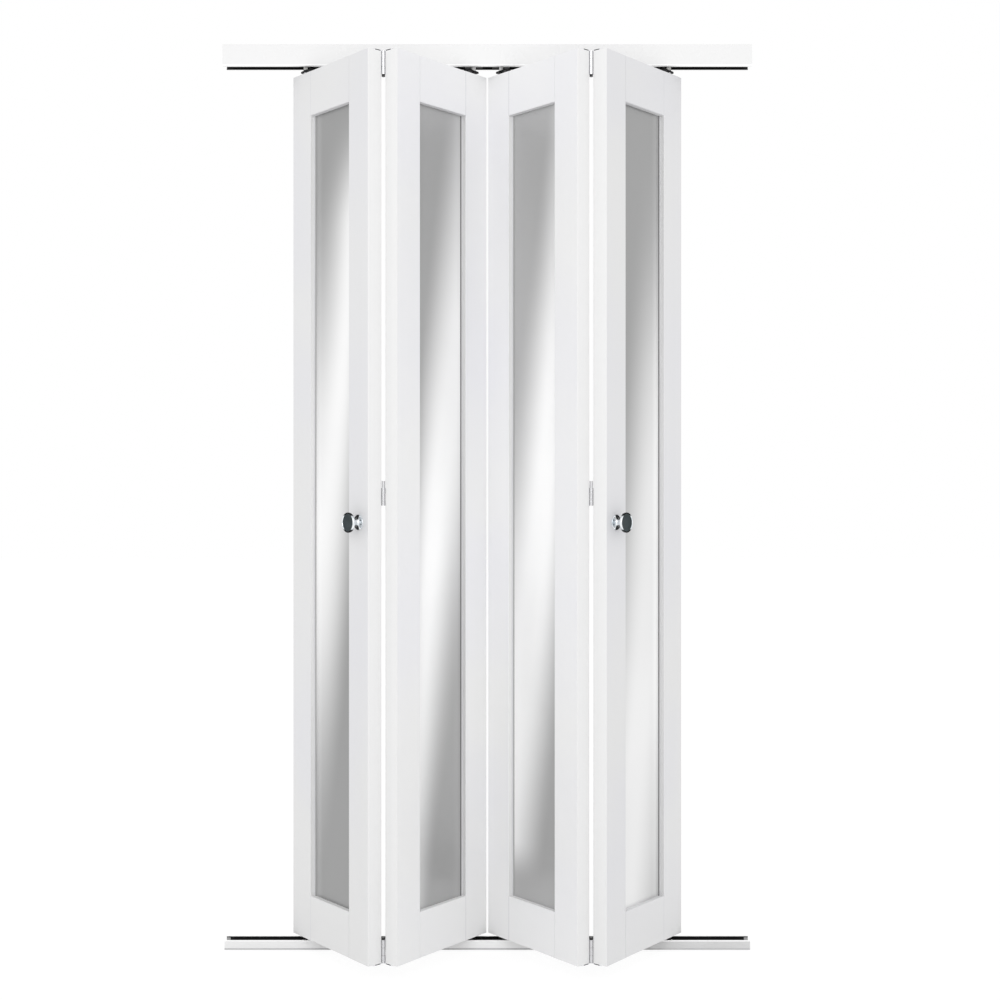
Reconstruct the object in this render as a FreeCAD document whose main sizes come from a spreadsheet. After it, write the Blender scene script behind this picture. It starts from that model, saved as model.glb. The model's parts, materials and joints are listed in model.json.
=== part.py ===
"""Bifold closet door: two hinged pairs of mirrored leaves hung between a top and a bottom track.

Frame: +Z up, X along the tracks, the room on the -Y side. The origin is on the floor, at the
middle of the bottom track, on the line that the pivot and guide pins share.

Each leaf has its own frame, in which its pieces are drawn: the hinge axis of its pair is the
Z axis, +Y is behind the leaf, and the leaf runs along X away from the hinge, to +X or to -X.
"""

import FreeCAD, Part
import os
import re

import Sketcher

doc = FreeCAD.newDocument("bifold_closet_door")

# ---------------------------------------------------------------- driving dimensions

DIMENSIONS = (
    # a leaf
    ("panel_width", 294.0), ("panel_height", 1960.0), ("panel_thick", 35.0),
    ("stile_width", 72.0), ("rail_height", 100.0), ("arris_radius", 1.0),
    ("front_lip", 11.0), ("groove_depth", 10.0), ("pane_play", 1.5), ("tongue_play", 0.5),
    ("mirror_thick", 4.0), ("backing_thick", 5.0),
    # how the leaves stand
    ("leaf_floor_gap", 32.0), ("header_gap", 20.5), ("leaf_gap", 3.0), ("pin_edge", 25.0),
    ("axis_setback", 4.0), ("swing_clearance", 0.7), ("rest_fold", 49.46),
    # hinges
    ("knuckle_radius", 4.0), ("knuckle_gap", 0.3), ("hinge_pin_radius", 1.6),
    ("hinge_pin_play", 0.06), ("plate_thick", 2.0), ("plate_width", 26.0), ("plate_corner", 4.0),
    ("hinge_length", 50.0),
    ("mid_hinge_length", 38.0), ("mid_hinge_height", 983.0), ("cap_radius", 3.6),
    ("cap_height", 5.0), ("mid_cap_height", 15.0),
    ("tab_thick", 2.0), ("tab_width", 15.0), ("tab_reach", 22.0),
    # strap brackets on the tops of the leaves
    ("strap_thick", 3.0), ("strap_width", 13.0), ("strap_lift", 9.7), ("strap_inset", 11.5),
    ("strap_arm", 38.0), ("strap_riser", 7.0), ("strap_foot", 44.0), ("strap_bend", 2.0),
    ("strap_tip_radius", 5.5),
    # pivot pins, guide pins and rollers
    ("pin_radius", 4.5), ("pin_shank_radius", 3.0), ("pin_head_radius", 5.5), ("pin_head_height", 3.0),
    ("pin_reach", 12.0), ("pin_nose", 1.5), ("bore_radius", 5.0), ("bore_depth", 38.0),
    ("collar_radius", 8.0), ("collar_height", 3.0), ("spacer_height", 2.8), ("bearing_play", 0.08),
    ("roller_width", 8.0), ("roller_side_play", 1.0), ("roller_end_play", 0.25), ("roller_rise", 10.0),
    ("roller_hub_radius", 4.6), ("guide_head_radius", 5.0), ("guide_head_height", 1.8),
    ("floor_roller_drop", 6.0),
    # tracks and fascia
    ("track_width", 30.0), ("track_wall", 1.5), ("track_end_allowance", 1.3),
    ("top_track_height", 47.5), ("top_track_roof", 2.0), ("lip_width", 2.5), ("lip_thick", 1.5),
    ("bottom_track_height", 21.7), ("bottom_track_base", 2.0), ("liner_thick", 1.0), ("liner_inset", 0.8),
    ("fascia_depth", 9.0), ("fascia_height", 49.0), ("fascia_wall", 2.0), ("fascia_hem", 3.0),
    ("fascia_flange", 1.5), ("fascia_overhang", 3.0), ("fascia_edge_radius", 0.8),
    ("track_hole_radius", 2.4), ("track_hole_inset", 38.5),
    # pivot sockets
    ("socket_length", 40.0), ("socket_height", 20.0), ("floor_socket_height", 13.0),
    ("socket_floor", 2.0), ("socket_side_play", 0.1), ("pin_seat_gap", 0.3),
    # knobs
    ("knob_height", 947.0), ("knob_edge", 35.0), ("knob_radius", 21.75), ("knob_standoff", 22.0),
    ("knob_thick", 7.0), ("knob_rim", 4.0), ("knob_dish", 0.8), ("knob_bevel", 2.5),
    ("rose_radius", 16.5), ("rose_thick", 2.5), ("rose_flare", 7.0), ("neck_radius", 6.5),
    ("neck_flare", 2.5), ("neck_flare_height", 5.0),
)

sheet = doc.addObject("Spreadsheet::Sheet", "Sizes")
for row, (alias, value) in enumerate(DIMENSIONS, start=1):
    sheet.set(f"A{row}", alias)
    sheet.set(f"B{row}", str(value))
    sheet.setAlias(f"B{row}", alias)
ALIASES = {alias for alias, _ in DIMENSIONS}
doc.recompute()

# ---------------------------------------------------------------- derived places, as formulas

EDGE_NEAR = "leaf_gap / 2"
EDGE_FAR = "(leaf_gap / 2 + panel_width)"
OPENING_NEAR = "(leaf_gap / 2 + stile_width)"
OPENING_FAR = "(leaf_gap / 2 + panel_width - stile_width)"
BACK = "-axis_setback"
FRONT = "(-axis_setback - panel_thick)"
MIDDLE = "(-axis_setback - panel_thick / 2)"
GROOVE_FRONT = "(-axis_setback - panel_thick + front_lip)"
GROOVE_BACK = "(-axis_setback - panel_thick + front_lip + mirror_thick + backing_thick)"
LEAF_BOTTOM = "leaf_floor_gap"
LEAF_TOP = "(leaf_floor_gap + panel_height)"
RAIL_BOTTOM = f"({LEAF_BOTTOM} + rail_height)"
RAIL_TOP = f"({LEAF_TOP} - rail_height)"

PIN_X = "(leaf_gap / 2 + panel_width - pin_edge)"
PIN_OFFSET = "(axis_setback + panel_thick / 2)"
PIVOT_X = "(sqrt(pin_edge ^ 2 + (panel_thick / 2) ^ 2) + swing_clearance)"
HINGE_AXIS_X = f"({PIVOT_X} + {PIN_X} * cos(rest_fold) + {PIN_OFFSET} * sin(rest_fold))"
HINGE_AXIS_Y = f"({PIN_OFFSET} * cos(rest_fold) - {PIN_X} * sin(rest_fold))"

STRAP_BOTTOM = f"({LEAF_TOP} + strap_lift)"
STRAP_TOP = f"({LEAF_TOP} + strap_lift + strap_thick)"
TRACK_UNDERSIDE = f"({LEAF_TOP} + header_gap)"
TRACK_TOP = f"({LEAF_TOP} + header_gap + top_track_height)"
LIP_TOP = f"({TRACK_UNDERSIDE} + lip_thick)"
SOCKET_TOP = f"({LIP_TOP} + socket_height)"
TRACK_INSIDE = "(track_width / 2 - track_wall)"
TRACK_HALF_LENGTH = f"({PIVOT_X} + 2 * panel_width + leaf_gap - pin_edge + track_end_allowance)"
TOP_ROLLER_RADIUS = f"({TRACK_INSIDE} - roller_side_play)"
FLOOR_ROLLER_RADIUS = f"({TRACK_INSIDE} - liner_thick - roller_side_play)"
TOP_ROLLER_BOTTOM = f"({LIP_TOP} + roller_rise)"
FLOOR_ROLLER_TOP = "(bottom_track_height - floor_roller_drop)"
LINER_FLOOR = "(bottom_track_base + liner_thick)"
SOCKET_SEAT = f"({LINER_FLOOR} + socket_floor)"
FLOOR_SOCKET_TOP = f"({LINER_FLOOR} + floor_socket_height)"
OUTER_TRACK_HOLE = f"({TRACK_HALF_LENGTH} - track_hole_inset)"

STRAP_TIP = f"({EDGE_FAR} - strap_inset)"
STRAP_RISE = f"({EDGE_FAR} - strap_inset - strap_arm)"
STRAP_HEEL = f"({EDGE_FAR} - strap_inset - strap_arm - strap_foot)"
STRAP_LEAN = "(strap_thick * tan(atan(strap_lift / strap_riser) / 2))"

# Where the knob stem's flare is drawn to, in degrees round its quarter circle.
FLARE_ANGLES = (0, 30, 60, 90)

# How near to its formula an edge lies, and how far its direction may be off its axis.
SAME_PLACE = 0.01
OFF_AXIS = 0.001

# Sketch geometry starts spread out at these sizes, until its constraints place it.
START_STEP = 10.0
START_RADIUS = 5.0


# ---------------------------------------------------------------- modelling helpers

def formula(text):
    """Write a formula of dimension names in the form that the document's expressions read."""
    return re.sub(r"[a-z_]+", lambda word: f"Sizes.{word[0]}" if word[0] in ALIASES else word[0],
                  str(text))


def bind(thing, prop, text):
    """Drive a property by a formula of dimension names."""
    thing.setExpression(prop, formula(text))


def along(side, text):
    """A distance along X from the hinge axis, on the side that a leaf runs to."""
    return f"{side} * ({text})"


def leaf_placement(leaf):
    """A leaf's frame at rest: on the hinge axis of its pair, turned by the fold angle."""
    place = f"vector({leaf['hand']} * {HINGE_AXIS_X}; {HINGE_AXIS_Y}; 0)"
    return f"placement({place}; rotation(vector(0; 0; 1); {leaf['run']} * rest_fold))"


def seat_on_leaf(thing, leaf, point=("0", "0", "0"), turn=("0; 0; 1", "0")):
    """Place a piece in a leaf's frame, at a point and with a turn of its own."""
    x, y, z = point
    axis, angle = turn
    local = f"placement(vector({x}; {y}; {z}); rotation(vector({axis}); {angle}))"
    bind(thing, "Placement", f"{leaf_placement(leaf)} * {local}")


def new_body(name):
    """An empty body, named and labelled as its piece."""
    body = doc.addObject("PartDesign::Body", name)
    body.Label = name
    return body


def sketch_on(body, role, height="0"):
    """A sketch on one of the body's origin planes, lifted along the plane's normal."""
    plane = next(f for f in body.Origin.OriginFeatures if f.Role == role)
    sketch = body.newObject("Sketcher::SketchObject", f"{body.Name}_sketch")
    sketch.AttachmentSupport = [(plane, "")]
    sketch.MapMode = "FlatFace"
    bind(sketch, "AttachmentOffset.Base.z", height)
    return sketch


def fix_point(sketch, geometry, end, x, y):
    """Hold one point of a sketch at formula distances from the sketch's origin."""
    for kind, text in (("DistanceX", x), ("DistanceY", y)):
        index = sketch.addConstraint(Sketcher.Constraint(kind, -1, 1, geometry, end, 1.0))
        bind(sketch, f"Constraints[{index}]", text)


def outline(sketch, corners):
    """Add a closed outline of straight edges through corners given as pairs of formulas."""
    count = len(corners)
    first = sketch.GeometryCount
    spread = [FreeCAD.Vector(START_STEP * step, step * step, 0) for step in range(count)]
    lines = [Part.LineSegment(spread[i], spread[(i + 1) % count]) for i in range(count)]
    sketch.addGeometry(lines, False)
    sketch.addConstraint([Sketcher.Constraint("Coincident", first + i, 2, first + (i + 1) % count, 1)
                          for i in range(count)])
    for index, (x, y) in enumerate(corners):
        fix_point(sketch, first + index, 1, x, y)


def rectangle(sketch, x_range, y_range):
    """Add a rectangle between two formulas each way."""
    (x0, x1), (y0, y1) = x_range, y_range
    outline(sketch, [(x0, y0), (x1, y0), (x1, y1), (x0, y1)])


def circle(sketch, x, y, radius):
    """Add a circle with its centre and radius given as formulas."""
    start = Part.Circle(FreeCAD.Vector(0, 0, 0), FreeCAD.Vector(0, 0, 1), START_RADIUS)
    index = sketch.addGeometry(start, False)
    fix_point(sketch, index, 3, x, y)
    held = sketch.addConstraint(Sketcher.Constraint("Radius", index, START_RADIUS))
    bind(sketch, f"Constraints[{held}]", radius)


def pad(body, sketch, length, both_ways=False, backwards=False):
    """Raise a sketch's outlines along its normal, half of it each way or against it if asked."""
    feature = body.newObject("PartDesign::Pad", f"{body.Name}_pad")
    feature.Profile = sketch
    bind(feature, "Length", length)
    feature.Midplane = both_ways
    feature.Reversed = backwards


def pocket(body, sketch, length):
    """Cut a sketch's outlines into the body, against the sketch plane's normal."""
    feature = body.newObject("PartDesign::Pocket", f"{body.Name}_pocket")
    feature.Profile = sketch
    bind(feature, "Length", length)


def revolve(body, sketch):
    """Turn a sketch once round its own vertical axis."""
    feature = body.newObject("PartDesign::Revolution", f"{body.Name}_revolution")
    feature.Profile = sketch
    feature.ReferenceAxis = (sketch, ["V_Axis"])
    feature.Angle = 360.0


def size(text):
    """The present value of a formula."""
    return float(sheet.evalExpression(formula(text)))


def ease(body, radius, wanted):
    """Round the edges of the body's last feature that the test picks."""
    doc.recompute()
    base = body.Tip
    names = [f"Edge{i}" for i, edge in enumerate(base.Shape.Edges, start=1) if wanted(edge)]
    fillet = body.newObject("PartDesign::Fillet", f"{body.Name}_fillet")
    fillet.Base = (base, names)
    bind(fillet, "Radius", radius)


def straight_edge(axis, **places):
    """A test for edges along one axis that lie at one of the places given on each other axis."""
    spots = {other: [size(text) for text in texts] for other, texts in places.items()}

    def wanted(edge):
        if edge.Curve.TypeId != "Part::GeomLine":
            return False
        if abs(getattr(edge.Curve.Direction, axis)) < 1 - OFF_AXIS:
            return False
        middle = edge.CenterOfMass
        return all(min(abs(getattr(middle, other) - spot) for spot in spots[other]) < SAME_PLACE
                   for other in spots)

    return wanted


def block(name, leaf, corner, size):
    """A plain rectangular piece in a leaf's frame, from its lowest corner."""
    piece = doc.addObject("Part::Box", name)
    piece.Label = name
    for prop, text in zip(("Length", "Width", "Height"), size):
        bind(piece, prop, text)
    seat_on_leaf(piece, leaf, corner)
    return piece


def drilled(name, blank, pins):
    """A piece drilled for the pins that it carries."""
    piece = doc.addObject("Part::Cut", name)
    piece.Label = name
    piece.Base = blank
    piece.Tool = pins
    return piece


def low_x(side, near, far):
    """The lower X of a span that lies between two distances from the hinge axis."""
    return near if side > 0 else f"-({far})"


# ---------------------------------------------------------------- a leaf's stiles, rails and mirror

def stile(leaf, name, outer, inner, groove_end):
    """A full-height stile, grooved along the edge that faces the mirror."""
    run = leaf["run"]
    body = new_body(name)
    section = sketch_on(body, "XY_Plane", LEAF_BOTTOM)
    outline(section, [
        (along(run, outer), FRONT), (along(run, inner), FRONT),
        (along(run, inner), GROOVE_FRONT), (along(run, groove_end), GROOVE_FRONT),
        (along(run, groove_end), GROOVE_BACK), (along(run, inner), GROOVE_BACK),
        (along(run, inner), BACK), (along(run, outer), BACK),
    ])
    pad(body, section, "panel_height")
    arrises = straight_edge("z", x=(along(run, outer), along(run, inner)), y=(FRONT, BACK))
    ease(body, "arris_radius", arrises)
    seat_on_leaf(body, leaf)
    return body


def rail(leaf, name, outer, inner, groove_end):
    """A rail between the stiles, with tongues that fill the stiles' grooves."""
    body = new_body(name)
    start = low_x(leaf["run"], OPENING_NEAR, OPENING_FAR)
    opening = f"({OPENING_FAR} - {OPENING_NEAR})"
    section = sketch_on(body, "YZ_Plane", start)
    outline(section, [
        (FRONT, outer), (FRONT, inner), (GROOVE_FRONT, inner), (GROOVE_FRONT, groove_end),
        (GROOVE_BACK, groove_end), (GROOVE_BACK, inner), (BACK, inner), (BACK, outer),
    ])
    pad(body, section, opening)
    ease(body, "arris_radius", straight_edge("x", y=(FRONT, BACK), z=(outer, inner)))
    tongue = sketch_on(body, "YZ_Plane", f"{start} - groove_depth + tongue_play")
    rectangle(tongue, (GROOVE_FRONT, GROOVE_BACK), (outer, groove_end))
    pad(body, tongue, f"{opening} + 2 * (groove_depth - tongue_play)")
    seat_on_leaf(body, leaf)
    return body


def pane(leaf, name, depth_from, thick):
    """A flat sheet that stands in the grooves all round the opening."""
    bite = "(groove_depth - pane_play)"
    corner = (f"{low_x(leaf['run'], OPENING_NEAR, OPENING_FAR)} - {bite}", depth_from,
              f"{LEAF_BOTTOM} + rail_height - {bite}")
    size = (f"{OPENING_FAR} - {OPENING_NEAR} + 2 * {bite}", thick,
            f"panel_height - 2 * rail_height + 2 * {bite}")
    return block(name, leaf, corner, size)


# ---------------------------------------------------------------- hinges

def hinge_spans():
    """Bottom and top of each hinge's barrel: at the foot, the middle and the head of the leaf."""
    middle = f"({LEAF_BOTTOM} + mid_hinge_height)"
    return (
        (LEAF_BOTTOM, f"({LEAF_BOTTOM} + hinge_length)"),
        (middle, f"({middle} + mid_hinge_length)"),
        (f"({LEAF_TOP} - hinge_length)", LEAF_TOP),
    )


def knuckle_spans(low, high, ends):
    """Heights of the knuckles that one plate carries: the two end ones, or the middle one."""
    third = f"(({high} - {low}) / 3)"
    gap = "knuckle_gap / 2"
    if ends:
        return [(low, f"({low} + {third} - {gap})"), (f"({high} - {third} + {gap})", high)]
    return [(f"({low} + {third} + {gap})", f"({high} - {third} - {gap})")]


def hinge_plates(leaf, name):
    """Three plates on the back of a leaf, each with its rolled knuckles on the hinge axis."""
    run, ends = leaf["run"], leaf["inner"]
    body = new_body(name)
    root = "(knuckle_radius + knuckle_gap)"
    far = f"({EDGE_NEAR} + plate_width)"
    flat = sketch_on(body, "XZ_Plane", "axis_setback - plate_thick")
    barrels = sketch_on(body, "XZ_Plane")
    for low, high in hinge_spans():
        spans = knuckle_spans(low, high, ends)
        if ends:
            (_, step_low), (step_high, _) = spans
            comb = [(far, low), (far, high), ("0", high), ("0", step_high),
                    (root, step_high), (root, step_low), ("0", step_low), ("0", low)]
        else:
            ((tooth_low, tooth_high),) = spans
            comb = [(far, low), (far, high), (root, high), (root, tooth_high),
                    ("0", tooth_high), ("0", tooth_low), (root, tooth_low), (root, low)]
        outline(flat, [(along(run, x), z) for x, z in comb])
        for z0, z1 in spans:
            rectangle(barrels, ("hinge_pin_radius + hinge_pin_play", "knuckle_radius"), (z0, z1))
    pad(body, flat, "plate_thick")
    revolve(body, barrels)
    for height, down in ((LEAF_TOP, False), (LEAF_BOTTOM, True)):
        tab = sketch_on(body, "XY_Plane", height)
        span = (along(run, EDGE_NEAR), along(run, f"{EDGE_NEAR} + tab_width"))
        rectangle(tab, span, (f"{BACK} - tab_reach", f"{BACK} + plate_thick"))
        pad(body, tab, "tab_thick", backwards=down)
    ease(body, "plate_corner", straight_edge("y", x=(along(run, far),)))
    seat_on_leaf(body, leaf)
    return body


def hinge_pins(leaf, name):
    """The three hinge pins of a pair, each with a cap at the end that faces the leaf's middle."""
    body = new_body(name)
    profile = sketch_on(body, "XZ_Plane")
    (low0, high0), (low1, high1), (low2, high2) = hinge_spans()
    for start, end, way, cap in (
        (low0, high0, "+", "cap_height"),
        (low1, high1, "+", "mid_cap_height"),
        (high2, low2, "-", "cap_height"),
    ):
        outline(profile, [
            ("0", start), ("hinge_pin_radius", start), ("hinge_pin_radius", end), ("cap_radius", end),
            ("cap_radius", f"{end} {way} {cap}"), ("0", f"{end} {way} {cap}")])
    revolve(body, profile)
    seat_on_leaf(body, leaf)
    return body


# ---------------------------------------------------------------- strap brackets, pins and rollers

def strap_blank(leaf, name):
    """A strap on the top of a leaf: screwed down at its foot, with a raised arm for the pin."""
    run = leaf["run"]
    body = new_body(name)
    foot_top = f"({LEAF_TOP} + strap_thick)"
    lower_bends = (f"{STRAP_RISE} - strap_riser", STRAP_RISE)
    upper_bends = (f"{STRAP_RISE} - {STRAP_LEAN}", f"{STRAP_RISE} - strap_riser - {STRAP_LEAN}")
    profile = sketch_on(body, "XZ_Plane", f"-({MIDDLE})")
    outline(profile, [(along(run, x), z) for x, z in (
        (STRAP_HEEL, LEAF_TOP), (lower_bends[0], LEAF_TOP), (lower_bends[1], STRAP_BOTTOM),
        (STRAP_TIP, STRAP_BOTTOM), (STRAP_TIP, STRAP_TOP), (upper_bends[0], STRAP_TOP),
        (upper_bends[1], foot_top), (STRAP_HEEL, foot_top))])
    pad(body, profile, "strap_width", both_ways=True)
    ease(body, "strap_tip_radius", straight_edge("z", x=(along(run, STRAP_TIP),)))
    ease(body, "strap_bend", straight_edge("y", x=[along(run, x) for x in lower_bends + upper_bends]))
    seat_on_leaf(body, leaf)
    return body


def pin_body(leaf, name, profiles):
    """Turned pins on the line through the tracks, at the free edge of a leaf."""
    body = new_body(name)
    sketch = sketch_on(body, "XZ_Plane")
    for corners in profiles:
        outline(sketch, corners)
    revolve(body, sketch)
    seat_on_leaf(body, leaf, (along(leaf["run"], PIN_X), MIDDLE, "0"))
    return body


def riveted_foot():
    """Where a top pin passes through the strap's arm, with its head below."""
    low = f"{STRAP_BOTTOM} - pin_head_height"
    return [("0", low), ("pin_head_radius", low), ("pin_head_radius", STRAP_BOTTOM),
            ("pin_shank_radius", STRAP_BOTTOM), ("pin_shank_radius", STRAP_TOP)]


def floor_shank():
    """The part of a bottom pin in the stile's bore, down to the underside of its collar."""
    under = f"{LEAF_BOTTOM} - collar_height"
    return [("0", f"{LEAF_BOTTOM} + bore_depth"), ("bore_radius", f"{LEAF_BOTTOM} + bore_depth"),
            ("bore_radius", LEAF_BOTTOM), ("collar_radius", LEAF_BOTTOM), ("collar_radius", under)]


def pivot_pins(leaf, name):
    """The two pins that an inner leaf turns on: one under the top track, one in the floor socket."""
    top = f"({TRACK_UNDERSIDE} + pin_reach)"
    under = f"{LEAF_BOTTOM} - collar_height"
    tip = f"({SOCKET_SEAT} + pin_seat_gap)"
    return pin_body(leaf, name, [
        riveted_foot() + [("pin_radius", STRAP_TOP), ("pin_radius", f"{top} - pin_nose"),
                          ("pin_radius - pin_nose", top), ("0", top)],
        floor_shank() + [("pin_radius", under), ("pin_radius", f"{tip} + pin_nose"),
                         ("pin_radius - pin_nose", tip), ("0", tip)],
    ])


def guide_pins(leaf, name):
    """The two pins that carry an outer leaf's rollers, each headed beyond its roller."""
    spacer = f"{STRAP_TOP} + spacer_height"
    top = f"({TOP_ROLLER_BOTTOM} + roller_width + roller_end_play)"
    top_end = f"{top} + guide_head_height"
    under = f"{LEAF_BOTTOM} - collar_height"
    shoulder = f"{FLOOR_ROLLER_TOP} + roller_end_play"
    low = f"({FLOOR_ROLLER_TOP} - roller_width - roller_end_play)"
    low_end = f"{low} - guide_head_height"
    return pin_body(leaf, name, [
        riveted_foot() + [
            ("guide_head_radius", STRAP_TOP), ("guide_head_radius", spacer),
            ("pin_shank_radius", spacer), ("pin_shank_radius", top),
            ("guide_head_radius", top), ("guide_head_radius", top_end), ("0", top_end)],
        floor_shank() + [
            ("guide_head_radius", under), ("guide_head_radius", shoulder),
            ("pin_shank_radius", shoulder), ("pin_shank_radius", low),
            ("guide_head_radius", low), ("guide_head_radius", low_end), ("0", low_end)],
    ])


def roller(leaf, name, at_top):
    """A guide roller; the top one has a long hub that stands on the pin's spacer."""
    bore = "pin_shank_radius + bearing_play"
    if at_top:
        radius = TOP_ROLLER_RADIUS
        low, high = TOP_ROLLER_BOTTOM, f"({TOP_ROLLER_BOTTOM} + roller_width)"
        hub = f"{STRAP_TOP} + spacer_height + roller_end_play"
        corners = [(bore, hub), ("roller_hub_radius", hub), ("roller_hub_radius", low)]
    else:
        radius = FLOOR_ROLLER_RADIUS
        low, high = f"({FLOOR_ROLLER_TOP} - roller_width)", FLOOR_ROLLER_TOP
        corners = [(bore, low)]
    corners += [(radius, low), (radius, high), (bore, high)]
    return pin_body(leaf, name, [corners])


# ---------------------------------------------------------------- knobs

def knob_piece(leaf, name, corners):
    """A turned piece of the knob, on an axis that stands out of the leaf's face."""
    body = new_body(name)
    sketch = sketch_on(body, "XZ_Plane")
    outline(sketch, corners)
    revolve(body, sketch)
    centre = (along(leaf["run"], f"{EDGE_NEAR} + knob_edge"), FRONT, f"{LEAF_BOTTOM} + knob_height")
    seat_on_leaf(body, leaf, centre, ("1; 0; 0", "90"))
    return body


def knob_stem(leaf, name):
    """The flared stem between the leaf's face and the knob's disc."""
    flare = [(f"neck_radius + rose_flare * (1 - sin({angle}))",
              f"rose_thick + rose_flare * (1 - cos({angle}))") for angle in FLARE_ANGLES]
    return knob_piece(leaf, name, [
        ("0", "0"), ("rose_radius", "0"), ("rose_radius", "rose_thick"), *flare,
        ("neck_radius", "knob_standoff - neck_flare_height"),
        ("neck_radius + neck_flare", "knob_standoff"), ("0", "knob_standoff")])


def knob_head(leaf, name):
    """The disc that the hand pulls, dished inside its rim."""
    back = "knob_standoff"
    front = "(knob_standoff + knob_thick)"
    return knob_piece(leaf, name, [
        ("0", back), ("knob_radius - knob_bevel", back), ("knob_radius", f"{back} + knob_bevel"),
        ("knob_radius", front), ("knob_radius - knob_rim", front),
        ("knob_radius - knob_rim - knob_dish", f"{front} - knob_dish"), ("0", f"{front} - knob_dish")])


# ---------------------------------------------------------------- a whole leaf

def build_leaf(leaf):
    """Every piece that one leaf carries."""
    name = leaf["name"]
    if leaf["inner"]:
        pins = pivot_pins(leaf, f"{name}_pivot_pins")
        pieces = [pins]
    else:
        pins = guide_pins(leaf, f"{name}_guide_pins")
        pieces = [
            pins,
            roller(leaf, f"{name}_top_roller", at_top=True),
            roller(leaf, f"{name}_bottom_roller", at_top=False),
            knob_stem(leaf, f"{name}_knob_stem"),
            knob_head(leaf, f"{name}_knob_head"),
        ]

    end_stile = stile(leaf, f"{name}_end_stile_blank", EDGE_FAR, OPENING_FAR,
                      f"{OPENING_FAR} + groove_depth")
    strap = strap_blank(leaf, f"{name}_strap_blank")
    pieces += [
        stile(leaf, f"{name}_hinge_stile", EDGE_NEAR, OPENING_NEAR, f"{OPENING_NEAR} - groove_depth"),
        drilled(f"{name}_end_stile", end_stile, pins),
        rail(leaf, f"{name}_top_rail", LEAF_TOP, RAIL_TOP, f"{RAIL_TOP} + groove_depth"),
        rail(leaf, f"{name}_bottom_rail", LEAF_BOTTOM, RAIL_BOTTOM, f"{RAIL_BOTTOM} - groove_depth"),
        pane(leaf, f"{name}_mirror", GROOVE_FRONT, "mirror_thick"),
        pane(leaf, f"{name}_backing_board", f"{GROOVE_FRONT} + mirror_thick", "backing_thick"),
        hinge_plates(leaf, f"{name}_hinge_plates"),
        drilled(f"{name}_strap_bracket", strap, pins),
    ]
    return pieces


# ---------------------------------------------------------------- tracks, fascia and sockets

def extrusion(name, corners, half_length):
    """A straight extrusion along X, centred on the origin."""
    body = new_body(name)
    section = sketch_on(body, "YZ_Plane")
    outline(section, corners)
    pad(body, section, f"2 * ({half_length})", both_ways=True)
    return body


def both_walls(half):
    """A whole outline from its half on the +Y side, listed from its outside round to its inside."""
    return half + [(f"-({y})", z) for y, z in reversed(half)]


def screw_holes(body, height, depth):
    """Holes on the centre line for the screws that hold a track."""
    holes = sketch_on(body, "XY_Plane", height)
    for x in (OUTER_TRACK_HOLE, f"{OUTER_TRACK_HOLE} / 3"):
        for side in (1, -1):
            circle(holes, along(side, x), "0", "track_hole_radius")
    pocket(body, holes, depth)


def top_track():
    """A deep channel, open below, with lips that keep the rollers in and carry the sockets."""
    half = "track_width / 2"
    lip = f"({TRACK_INSIDE} - lip_width)"
    body = extrusion("top_track", both_walls([
        (half, TRACK_TOP), (half, TRACK_UNDERSIDE), (lip, TRACK_UNDERSIDE), (lip, LIP_TOP),
        (TRACK_INSIDE, LIP_TOP), (TRACK_INSIDE, f"{TRACK_TOP} - top_track_roof")]), TRACK_HALF_LENGTH)
    screw_holes(body, TRACK_TOP, "top_track_roof")
    return body


def bottom_track():
    """A shallow channel, open above, screwed to the floor."""
    half = "track_width / 2"
    body = extrusion("bottom_track", both_walls([
        (half, "0"), (half, "bottom_track_height"), (TRACK_INSIDE, "bottom_track_height"),
        (TRACK_INSIDE, "bottom_track_base")]), TRACK_HALF_LENGTH)
    screw_holes(body, "bottom_track_base", "bottom_track_base")
    return body


def track_liner():
    """A thin channel that lines the bottom track."""
    inner = f"({TRACK_INSIDE} - liner_thick)"
    edge = "bottom_track_height - liner_inset"
    body = extrusion("bottom_track_liner", both_walls([
        (TRACK_INSIDE, "bottom_track_base"), (TRACK_INSIDE, edge), (inner, edge),
        (inner, LINER_FLOOR)]), TRACK_HALF_LENGTH)
    screw_holes(body, LINER_FLOOR, "liner_thick")
    return body


def fascia():
    """The cover in front of the top track: a front wall with a hem below and a flange above."""
    back = "-track_width / 2"
    front = "(-track_width / 2 - fascia_depth)"
    inside = f"{front} + fascia_wall"
    low = f"({TRACK_TOP} - fascia_height)"
    corners = [(back, low), (front, low), (front, TRACK_TOP), (back, TRACK_TOP),
               (back, f"{TRACK_TOP} - fascia_flange"), (inside, f"{TRACK_TOP} - fascia_flange"),
               (inside, f"{low} + fascia_hem"), (back, f"{low} + fascia_hem")]
    body = extrusion("fascia", corners, f"{TRACK_HALF_LENGTH} + fascia_overhang")
    ease(body, "fascia_edge_radius", straight_edge("x", y=(front,)))
    return body


def socket_pair(name, half_width, low, high, bore_low, bore_high):
    """Two socket blocks, one for each pair's pivot pin, with a bore up from or down to their seat."""
    body = new_body(name)
    blocks = sketch_on(body, "XY_Plane", low)
    bores = sketch_on(body, "XY_Plane", bore_high)
    for side in (1, -1):
        near, far = f"{PIVOT_X} - socket_length / 2", f"{PIVOT_X} + socket_length / 2"
        rectangle(blocks, (along(side, near), along(side, far)), (f"-({half_width})", half_width))
        circle(bores, along(side, PIVOT_X), "0", "pin_radius + bearing_play")
    pad(body, blocks, f"{high} - {low}")
    pocket(body, bores, f"{bore_high} - {bore_low}")
    return body


# ---------------------------------------------------------------- assembly

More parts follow.
